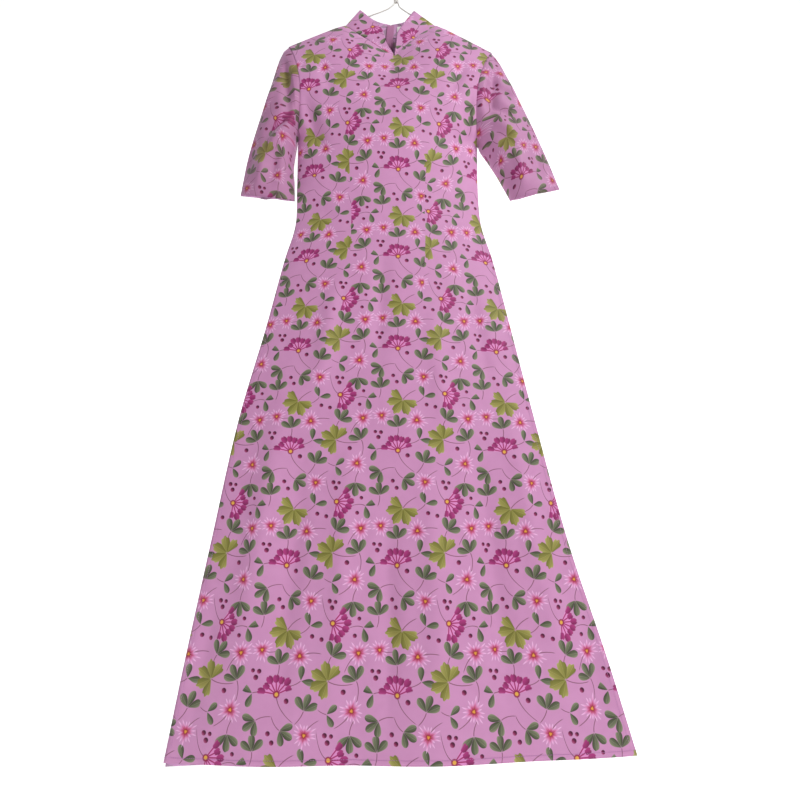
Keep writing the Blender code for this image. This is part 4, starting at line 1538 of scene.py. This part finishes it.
def swept(name: str, route: Sequence[Vector], radius: float, rounds: int = 3) -> Object:
    """A round bar along a route as a plain mesh with closed ends.

    Args:
        name: the piece's name.
        route: its centre line.
        radius: the bar's radius.
        rounds: how finely its section is rounded.

    Returns:
        The plain mesh object.
    """
    curve = bpy.data.curves.new(name, "CURVE")
    curve.dimensions = "3D"
    curve.bevel_depth = radius
    curve.bevel_resolution = rounds
    curve.use_fill_caps = True
    line = curve.splines.new("POLY")
    line.points.add(len(route) - 1)
    for point, place in zip(line.points, route):
        point.co = (*place, 1)
    return baked(add_object(name, curve), name)


def joined(name: str, parts: Sequence[Object]) -> Object:
    """Joins plain mesh objects into one."""
    points, faces = [], []
    for part in parts:
        start = len(points)
        points += [vertex.co.copy() for vertex in part.data.vertices]
        faces += [tuple(start + k for k in polygon.vertices) for polygon in part.data.polygons]
        bpy.data.objects.remove(part)
    mesh = bpy.data.meshes.new(name)
    mesh.from_pydata(points, [], faces)
    mesh.shade_smooth()
    return add_object(name, mesh)


def dress(thing: Object, material: Material, shift: Vector | None = None) -> None:
    """Moves a plain mesh to its place and gives it its material."""
    if shift is not None:
        for vertex in thing.data.vertices:
            vertex.co += shift
        thing.data.update()
    thing.data.materials.clear()
    thing.data.materials.append(material)
    thing.data.shade_smooth()


@dataclass
class CentreBackZip:
    """The closed coil zip in the centre back: tape, coil, slider and pull tab."""

    form: TunicForm
    wardrobe: Wardrobe
    collar_base: Vector = field(default_factory=lambda: Vector((-0.0133, 0.0200, -0.1483)))
    collar_top: Vector = field(default_factory=lambda: Vector((-0.0110, 0.0205, -0.1127)))
    tape_width: float = 0.015
    tape_thickness: float = 0.0006
    tape_inset: float = 0.0025
    bottom: float = -0.620
    below_edge: float = 0.0035
    coil_pitch: float = 0.0014
    coil_width: float = 0.0034
    coil_radius: float = 0.00042
    slider_drop: float = 0.0085
    slider: tuple[float, float, float] = (0.0060, 0.0024, 0.0100)
    slider_clearance: float = 0.0004
    wall: float = 0.0012
    bridge_opening: float = 0.0020
    bridge_radius: float = 0.00055
    bridge_sunk: float = 0.0002
    bridge_half: float = 0.0027
    # The right half of the slider's outline, in its half width and half height.
    shield: tuple[tuple[float, float], ...] = (
        (0.72, -1), (0.86, -0.4), (1, 0.35), (0.92, 0.85), (0.4, 1))
    shield_dip: float = 0.86
    slider_bevel: float = 0.0005
    tab: tuple[float, float, float] = (0.0050, 0.0010, 0.0220)
    tab_over: float = 0.0006  # how far the tab reaches past its axis, and its window short of it
    tab_corner: float = 0.0016
    tab_bevel: float = 0.00025
    window: tuple[float, float, float] = (0.0027, -0.0058, 0.0009)

    def centre(self, z: float) -> Vector:
        """The middle of the back at a height."""
        if z >= self.collar_base.z:
            share = (z - self.collar_base.z) / (self.collar_top.z - self.collar_base.z)
            return self.collar_base.lerp(self.collar_top, share)
        if z <= self.form.underarm:
            return self.form.skirt_point(Face.BACK, 0, z)
        steps = [self.form.yoke_point(Face.BACK, 0, k / 60) for k in range(61)]
        low, high = next((a, b) for a, b in zip(steps, steps[1:]) if z <= b.z + 1e-6)
        return low.lerp(high, (z - low.z) / (high.z - low.z))

    def build(self) -> None:
        top = self.collar_top.z - self.below_edge
        count = 120
        heights = [mix(self.bottom, top, k / count) for k in range(count + 1)]
        middle = [self.centre(z) - Vector((0, self.tape_inset, 0)) for z in heights]
        across = [k / 4 - 1 for k in range(9)]
        rows = [[m + Vector((a * self.tape_width / 2, 0, 0)) for a in across] for m in middle]
        flat = [[(a * self.tape_width / 2, z) for a in across] for z in heights]
        tape = add_cloth("zip_tape_cloth", Loft(rows, flat), lambda _: Vector((0, 1, 0)),
                         [self.wardrobe.tape], ("zip_tape",), self.tape_thickness)
        out = Vector((0, self.tape_thickness / 2 + self.coil_radius, 0))
        coil = BarsOnPath("zip_coil", self.wardrobe.coil, self.coil_pitch, self.coil_width,
                          self.coil_radius, across=True)
        teeth = coil.build([[m + out for m in middle[:-3]]])
        hand_over(teeth)
        axis = self.axis()
        back = axis.y - self.bridge_opening / 2
        wide, deep, tall = (side / 2 for side in self.slider)
        right = [(wide * x, tall * z) for x, z in self.shield]
        shield = [*right, (0, tall * self.shield_dip), *((-x, z) for x, z in reversed(right))]
        body = outline_solid("slider_body", [shield], 2 * deep, self.slider_bevel)
        dress(body, self.wardrobe.metal, Vector((axis.x, back - deep, axis.z)))
        reach = self.bridge_opening + self.bridge_radius
        angles = [math.pi * k / 12 for k in range(13)]
        arch = [Vector((axis.x, back - self.bridge_sunk + reach * math.sin(angle) ** 0.6,
                        axis.z + self.bridge_half * math.cos(angle))) for angle in angles]
        bridge = swept("slider_bridge", arch, self.bridge_radius)
        slider = joined("zip_slider_body", [body, bridge])
        dress(slider, self.wardrobe.metal)
        hand_over(slider, stands_for=("zip_slider",))
        width, thick, length = self.tab
        outer = rounded_box(width, -length + self.tab_over, self.tab_over, self.tab_corner)
        across, low, corner = self.window
        window = list(reversed(rounded_box(across, low, -self.tab_over, corner)))
        pull = outline_solid("zip_pull", [outer, window], thick, self.tab_bevel)
        dress(pull, self.wardrobe.metal, axis)
        hand_over(pull, body=PULL_TAB, stands_for=("zip_pull_tab",))

    def axis(self) -> Vector:
        """A point of the line that the pull tab turns about."""
        place = self.centre(self.collar_top.z - self.slider_drop)
        behind = self.wall / 2 + self.slider_clearance + self.slider[1] + self.bridge_opening / 2
        return place + Vector((0, behind, 0))


@dataclass
class WovenLabel:
    """A small blank woven label folded flat inside the back of the collar."""

    wardrobe: Wardrobe
    thickness: float = 0.0004
    slack: float = 0.0001
    belly: float = 0.0003
    cells: int = 12

    def build(self) -> None:
        low, high = (Vector(corner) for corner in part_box("size_label"))
        shares = [k / self.cells for k in range(self.cells + 1)]
        leans = high.y - low.y > self.thickness + self.slack
        rows = []
        for up in shares:
            z = mix(low.z, high.z, up)
            row = []
            for share in shares:
                belly = self.belly * math.sin(math.pi * share) * math.sin(math.pi * up)
                y = mix(high.y, low.y, share) if leans else (low.y + high.y) / 2
                row.append(Vector((mix(low.x, high.x, share), y - belly, z)))
            rows.append(row)
        flat = [[(point.x, point.z) for point in row] for row in rows]
        label = add_cloth("size_label_cloth", Loft(rows, flat), lambda _: Vector((0, -1, 0)),
                          [self.wardrobe.label], ("size_label",), self.thickness)


@dataclass
class WireHanger:
    """The coated wire hanger: one wire from the hook's tip, round the arms and back up its neck."""

    form: TunicForm
    wardrobe: Wardrobe
    radius: float = 0.0015
    hook_radius: float = 0.0200
    hook_angles: tuple[float, float] = (205.0, -60.0)
    apex: float = -0.075
    neck: tuple[tuple[float, float], ...] = ((0.0045, -0.0465), (0.0010, -0.0520), (0.0, -0.056))
    arms: dict[Side, tuple[tuple[float, float], ...]] = field(
        default_factory=lambda: {
            Side.LEFT: ((-0.0070, -0.0850), (-0.0170, -0.0938), (-0.0340, -0.1025), (-0.0592, -0.1130)),
            Side.RIGHT: ((0.0070, -0.0880), (0.0180, -0.0985), (0.0328, -0.1095), (0.0520, -0.1230)),
        }
    )
    depth: float = 0.0078
    tips: dict[Side, float] = field(default_factory=lambda: {Side.LEFT: -0.198, Side.RIGHT: 0.176})
    tip_radius: float = 0.0085
    wrap_turns: float = 2.5
    wrap_pitch: float = 0.0036
    wrap_gap: float = 0.0006
    wrap_drop: float = 0.0020
    bend: float = 0.008  # how far along the wire a corner is cut at most

    def arm(self, side: Side) -> list[tuple[float, float]]:
        """An arm from the apex to its tip, and round the tip to the bottom bar."""
        neck, shoulder = self.form.neck_side[side], self.form.shoulder[side]
        slope = (shoulder[1] - neck[1]) / (shoulder[0] - neck[0])
        tip_x = self.tips[side]
        tip_z = neck[1] + slope * (tip_x - neck[0]) - self.depth
        turn = arc(tip_x, tip_z - self.tip_radius, self.tip_radius, 112.5, 270, 14)
        if side is Side.RIGHT:
            turn = [(2 * tip_x - x, z) for x, z in turn]
        return [*self.arms[side], (neck[0], neck[1] - self.depth), *turn]

    def route(self) -> list[Vector]:
        """The wire's smooth centre line."""
        hook = arc(0, -self.hook_radius, self.hook_radius + self.radius, *self.hook_angles, 40)
        corners = [*hook, *self.neck, (0.0, self.apex)]
        corners += [*self.arm(Side.LEFT), *reversed(self.arm(Side.RIGHT))]
        route = [Vector((x, 0, z)) for x, z in self.rounded(corners)]
        ring = 2 * self.radius + self.wrap_gap
        steps = 80
        for k in range(steps + 1):
            turn = 2 * math.pi * self.wrap_turns * k / steps
            rise = self.wrap_pitch * self.wrap_turns * k / steps - self.wrap_drop
            route.append(Vector((ring * math.cos(turn), -ring * math.sin(turn), self.apex + rise)))
        return route

    def rounded(self, corners: list[tuple[float, float]]) -> list[tuple[float, float]]:
        """The corners cut twice by up to a quarter, so that the bends are round."""
        for _ in range(2):
            cut = [corners[0]]
            for (ax, az), (bx, bz) in zip(corners, corners[1:]):
                near = min(0.25, self.bend / max(math.hypot(bx - ax, bz - az), 1e-6))
                cut += [(mix(ax, bx, t), mix(az, bz, t)) for t in (near, 1 - near)]
            corners = [*cut, corners[-1]]
        return corners

    def build(self) -> None:
        wire = swept("hanger_wire", self.route(), self.radius, rounds=4)
        dress(wire, self.wardrobe.coating)
        hand_over(wire, stands_for=("wire_hanger",))


# ---- The studio


@dataclass
class Studio:
    """A white floor that curves up into a backdrop, soft lights, a pale world and the camera."""

    floor: float = -1.62
    wall: float = 2.2
    bend: float = 1.0
    room: float = 0.22
    place: tuple[float, float, float] = (0.0082, -1.021, -1.197)
    tilt: float = 105.0
    lens: float = 27.9

    def build(self) -> None:
        """Sets the studio up round the hung garment."""
        paper = PlainFinish("white_paper", "FFFFFF", "FCFCFC", 0.85, grain_mm=6.0, depth_mm=0.02,
                            glow=0.58).make()
        foot = self.wall - self.bend
        quarter = [math.radians(90 * k / 9) for k in range(1, 10)]
        profile = [(mix(-3.0, foot, k / 8), self.floor) for k in range(9)]
        profile += [(foot + self.bend * math.sin(a), self.floor + self.bend * (1 - math.cos(a)))
                    for a in quarter]
        profile += [(self.wall, mix(self.floor + self.bend, 4.0, k / 7)) for k in range(1, 8)]
        rows = [[Vector((x, y, z)) for x in (-5.0, -2.5, 0.0, 2.5, 5.0)] for y, z in profile]
        flat = [[(point.x, point.y + point.z) for point in row] for row in rows]
        mesh = Loft(rows, flat).mesh("backdrop_sweep", lambda _: Vector((0, -1, 1)))
        add_object("backdrop_sweep", mesh, [paper])
        self.add_light("key_light", (1.6, -1.75, 1.2), (0.0, 0.0, -0.45), size=0.7, power=61)
        self.add_light("fill_light", (-2.0, -2.2, -0.2), (0.0, 0.0, -0.9), size=2.4, power=5)
        world = bpy.data.worlds.new("pale_room")
        bpy.context.scene.world = world
        world.use_nodes = True
        sky = world.node_tree.nodes["Background"]
        sky.inputs["Color"].default_value = (1, 1, 1, 1)
        sky.inputs["Strength"].default_value = self.room
        camera = bpy.data.cameras.new("camera")
        camera.lens = self.lens
        camera.sensor_width = 36
        eye = add_object("camera", camera)
        eye.location = self.place
        eye.rotation_euler = (math.radians(self.tilt), 0, 0)
        bpy.context.scene.camera = eye
        bpy.context.scene.view_settings.view_transform = "Standard"

    def add_light(self, name: str, place: tuple[float, float, float],
                  towards: tuple[float, float, float], size: float, power: float) -> None:
        """Adds a soft square light.

        Args:
            name: its name.
            place: where it stands.
            towards: the point it faces.
            size: its side.
            power: its watts.
        """
        lamp = bpy.data.lights.new(name, "AREA")
        lamp.energy = power
        lamp.size = size
        thing = add_object(name, lamp)
        thing.location = place
        thing.rotation_euler = (Vector(towards) - Vector(place)).to_track_quat("-Z", "Y").to_euler()


SLEEVE_ROWS: dict[Side, tuple[SleeveRow, ...]] = {
    Side.LEFT: tuple(SleeveRow(*row) for row in (
        (0.06, -0.2250, -0.2040, -0.1902, -0.4130, 0.041, 0.032, 0.001),
        (0.16, -0.2335, -0.2300, -0.1908, -0.4250, 0.043, 0.033, 0.002),
        (0.34, -0.2470, -0.2920, -0.1918, -0.4460, 0.042, 0.033, 0.005),
        (0.56, -0.2640, -0.3670, -0.1930, -0.4730, 0.038, 0.030, 0.008),
        (0.78, -0.2800, -0.4480, -0.1900, -0.5040, 0.033, 0.026, 0.011),
        (1.00, -0.2890, -0.5290, -0.1885, -0.5400, 0.027, 0.022, 0.014),
    )),
    Side.RIGHT: tuple(SleeveRow(*row) for row in (
        (0.06, 0.2000, -0.2200, 0.1590, -0.4250, 0.041, 0.032, 0.001),
        (0.16, 0.2110, -0.2420, 0.1625, -0.4360, 0.043, 0.033, 0.002),
        (0.34, 0.2350, -0.3030, 0.1730, -0.4540, 0.042, 0.033, 0.005),
        (0.56, 0.2620, -0.3760, 0.1870, -0.4800, 0.038, 0.030, 0.008),
        (0.78, 0.2860, -0.4480, 0.2005, -0.5090, 0.033, 0.026, 0.011),
        (1.00, 0.3064, -0.5157, 0.2143, -0.5391, 0.027, 0.022, 0.014),
    )),
}

BODY_CREASES: dict[Face, tuple[Crease, ...]] = {
    Face.FRONT: creases(
        # Troughs that fall from the bust and the armholes.
        (-0.176, -0.330, -0.128, -0.470, 0.011, -0.0035),
        (0.150, -0.330, 0.112, -0.480, 0.012, -0.0030),
        (-0.150, -0.255, -0.118, -0.340, 0.010, -0.0022),
        (0.136, -0.250, 0.102, -0.345, 0.011, -0.0022),
        # Slack across the waist.
        (-0.178, -0.560, -0.100, -0.585, 0.008, -0.0022),
        (-0.176, -0.500, -0.112, -0.520, 0.009, 0.0018),
        (0.148, -0.545, 0.070, -0.575, 0.008, -0.0020),
        (0.146, -0.600, 0.082, -0.622, 0.009, 0.0018),
        # Hip drags below the darts.
        (-0.100, -0.700, -0.128, -0.930, 0.016, 0.0035),
        (-0.020, -0.640, -0.030, -0.900, 0.014, -0.0025),
        (0.062, -0.760, 0.086, -1.020, 0.017, 0.0032),
        (0.122, -0.690, 0.158, -0.930, 0.013, -0.0026),
        # Soft flutes down the skirt.
        (-0.182, -0.900, -0.226, -1.380, 0.020, 0.0045),
        (-0.142, -1.000, -0.166, -1.440, 0.016, -0.0042),
        (-0.072, -0.960, -0.084, -1.450, 0.022, 0.0040),
        (-0.012, -1.080, -0.004, -1.450, 0.015, -0.0036),
        (0.052, -1.020, 0.070, -1.450, 0.021, 0.0036),
        (0.128, -0.980, 0.168, -1.430, 0.017, -0.0042),
        (0.180, -0.900, 0.246, -1.400, 0.020, 0.0040),
        (-0.262, -1.220, -0.288, -1.440, 0.012, -0.0026),
        (0.270, -1.260, 0.304, -1.430, 0.013, -0.0028),
    ),
    Face.BACK: creases(
        (-0.060, -0.330, -0.052, -0.560, 0.014, -0.0030),
        (0.066, -0.360, 0.058, -0.600, 0.013, -0.0030),
        (-0.160, -0.320, -0.120, -0.460, 0.012, 0.0030),
        (0.140, -0.330, 0.100, -0.470, 0.012, 0.0028),
        (-0.172, -0.545, -0.060, -0.575, 0.008, -0.0024),
        (0.146, -0.560, 0.040, -0.590, 0.008, -0.0022),
        (-0.130, -0.690, -0.160, -1.050, 0.018, 0.0040),
        (0.104, -0.700, 0.138, -1.100, 0.018, 0.0042),
        (-0.050, -0.780, -0.066, -1.220, 0.016, -0.0036),
        (0.040, -0.820, 0.058, -1.300, 0.016, -0.0036),
        (-0.200, -1.000, -0.242, -1.430, 0.018, -0.0040),
        (0.196, -1.020, 0.252, -1.440, 0.018, -0.0038),
        (-0.110, -1.060, -0.128, -1.450, 0.020, 0.0036),
        (0.120, -1.120, 0.150, -1.450, 0.016, 0.0034),
    ),
}

SLEEVE_CREASES: dict[Side, tuple[Crease, ...]] = {
    Side.LEFT: creases(
        # Troughs along the armhole and out from the underarm.
        (-0.214, -0.235, -0.200, -0.395, 0.011, -0.0062),
        (-0.196, -0.372, -0.246, -0.424, 0.008, -0.0052),
        (-0.198, -0.404, -0.240, -0.456, 0.009, 0.0046),
        (-0.232, -0.286, -0.252, -0.372, 0.009, 0.0034),
        (-0.262, -0.400, -0.276, -0.510, 0.010, -0.0036),
        (-0.222, -0.440, -0.228, -0.530, 0.009, -0.0034),
        (-0.244, -0.460, -0.252, -0.532, 0.008, 0.0030),
    ),
    Side.RIGHT: creases(
        (0.190, -0.240, 0.176, -0.400, 0.011, -0.0062),
        (0.178, -0.300, 0.224, -0.334, 0.009, -0.0044),
        (0.170, -0.352, 0.232, -0.386, 0.009, -0.0048),
        (0.176, -0.392, 0.240, -0.436, 0.009, 0.0040),
        (0.214, -0.270, 0.238, -0.350, 0.009, 0.0032),
        (0.250, -0.420, 0.272, -0.520, 0.010, -0.0036),
        (0.222, -0.452, 0.236, -0.530, 0.009, 0.0030),
    ),
}

COLLAR_RIBS: dict[Side, tuple[CollarRib, ...]] = {
    Side.LEFT: tuple(CollarRib(*row) for row in (
        (-0.0045, -0.0160, -0.2262, -0.0040, -0.0158, -0.2215),
        (-0.0292, -0.0145, -0.2046, -0.0185, -0.0140, -0.1925),
        (-0.0550, -0.0120, -0.1822, -0.0275, -0.0110, -0.1560),
        (-0.0807, -0.0085, -0.1600, -0.0440, -0.0070, -0.1346),
        (-0.0945, -0.0050, -0.1475, -0.0610, -0.0048, -0.1120),
        (-0.1036, 0.0000, -0.1385, -0.0735, 0.0000, -0.0960),
        (-0.0960, 0.0075, -0.1400, -0.0650, 0.0065, -0.0980),
        (-0.0590, 0.0160, -0.1455, -0.0400, 0.0165, -0.1075),
        (-0.0143, 0.0200, -0.1483, -0.0120, 0.0205, -0.1127),
    )),
    Side.RIGHT: tuple(CollarRib(*row) for row in (
        (-0.0022, -0.0162, -0.2260, -0.0024, -0.0160, -0.2215),
        (0.0160, -0.0140, -0.2025, 0.0006, -0.0135, -0.1930),
        (0.0300, -0.0120, -0.1860, 0.0032, -0.0115, -0.1640),
        (0.0480, -0.0095, -0.1680, 0.0158, -0.0085, -0.1380),
        (0.0700, -0.0050, -0.1485, 0.0280, -0.0052, -0.1160),
        (0.0814, 0.0000, -0.1385, 0.0369, 0.0000, -0.0981),
        (0.0750, 0.0075, -0.1400, 0.0330, 0.0065, -0.1000),
        (0.0390, 0.0160, -0.1455, 0.0180, 0.0165, -0.1085),
        (-0.0123, 0.0200, -0.1483, -0.0100, 0.0205, -0.1127),
    )),
}


def main() -> None:
    """Builds the garment, its hanger and the studio, in that order."""
    logging.basicConfig(level=logging.INFO, format="%(name)s: %(message)s")
    wardrobe = Wardrobe()
    surfaces = Panels(FORM, wardrobe).build()
    # The sleeves' faces carry painted shade, the left sleeve more than the right.
    sleeves = [
        Sleeve(FORM, wardrobe, side, name, SLEEVE_ROWS[side], SLEEVE_CREASES[side], shift,
               (0.43, 0.36), 0.066, painted_shade)
        for side, name, shift, painted_shade in ((Side.LEFT, "sleeve_left", (0.052, 0.020), 0.30),
                                            (Side.RIGHT, "sleeve_right", (0.118, 0.071), 0.20))
    ]
    for sleeve in sleeves:
        sleeve.build()
    for side, name, shift in ((Side.LEFT, "collar_left", (0.030, 0.094)),
                              (Side.RIGHT, "collar_right", (0.142, 0.030))):
        Collar(wardrobe, name, side, COLLAR_RIBS[side], shift, (0.30, 0.045), 0.010).build()
    stitching = Stitching(FORM, wardrobe)
    paths = [stitching.cuff(sleeve) for sleeve in sleeves]
    for face, surface in surfaces.items():
        outward = Vector((0, face.value, 0))
        paths.append(stitching.hem(surface, outward))
        paths += [stitching.slit(surface, side, outward) for side in Side]
    thread = BarsOnPath("hem_stitches", wardrobe.thread, stitching.pitch, stitching.length,
                        stitching.radius)
    hand_over(thread.build(paths))
    CentreBackZip(FORM, wardrobe).build()
    WovenLabel(wardrobe).build()
    WireHanger(FORM, wardrobe).build()
    Studio().build()


if __name__ == "__main__":
    main()
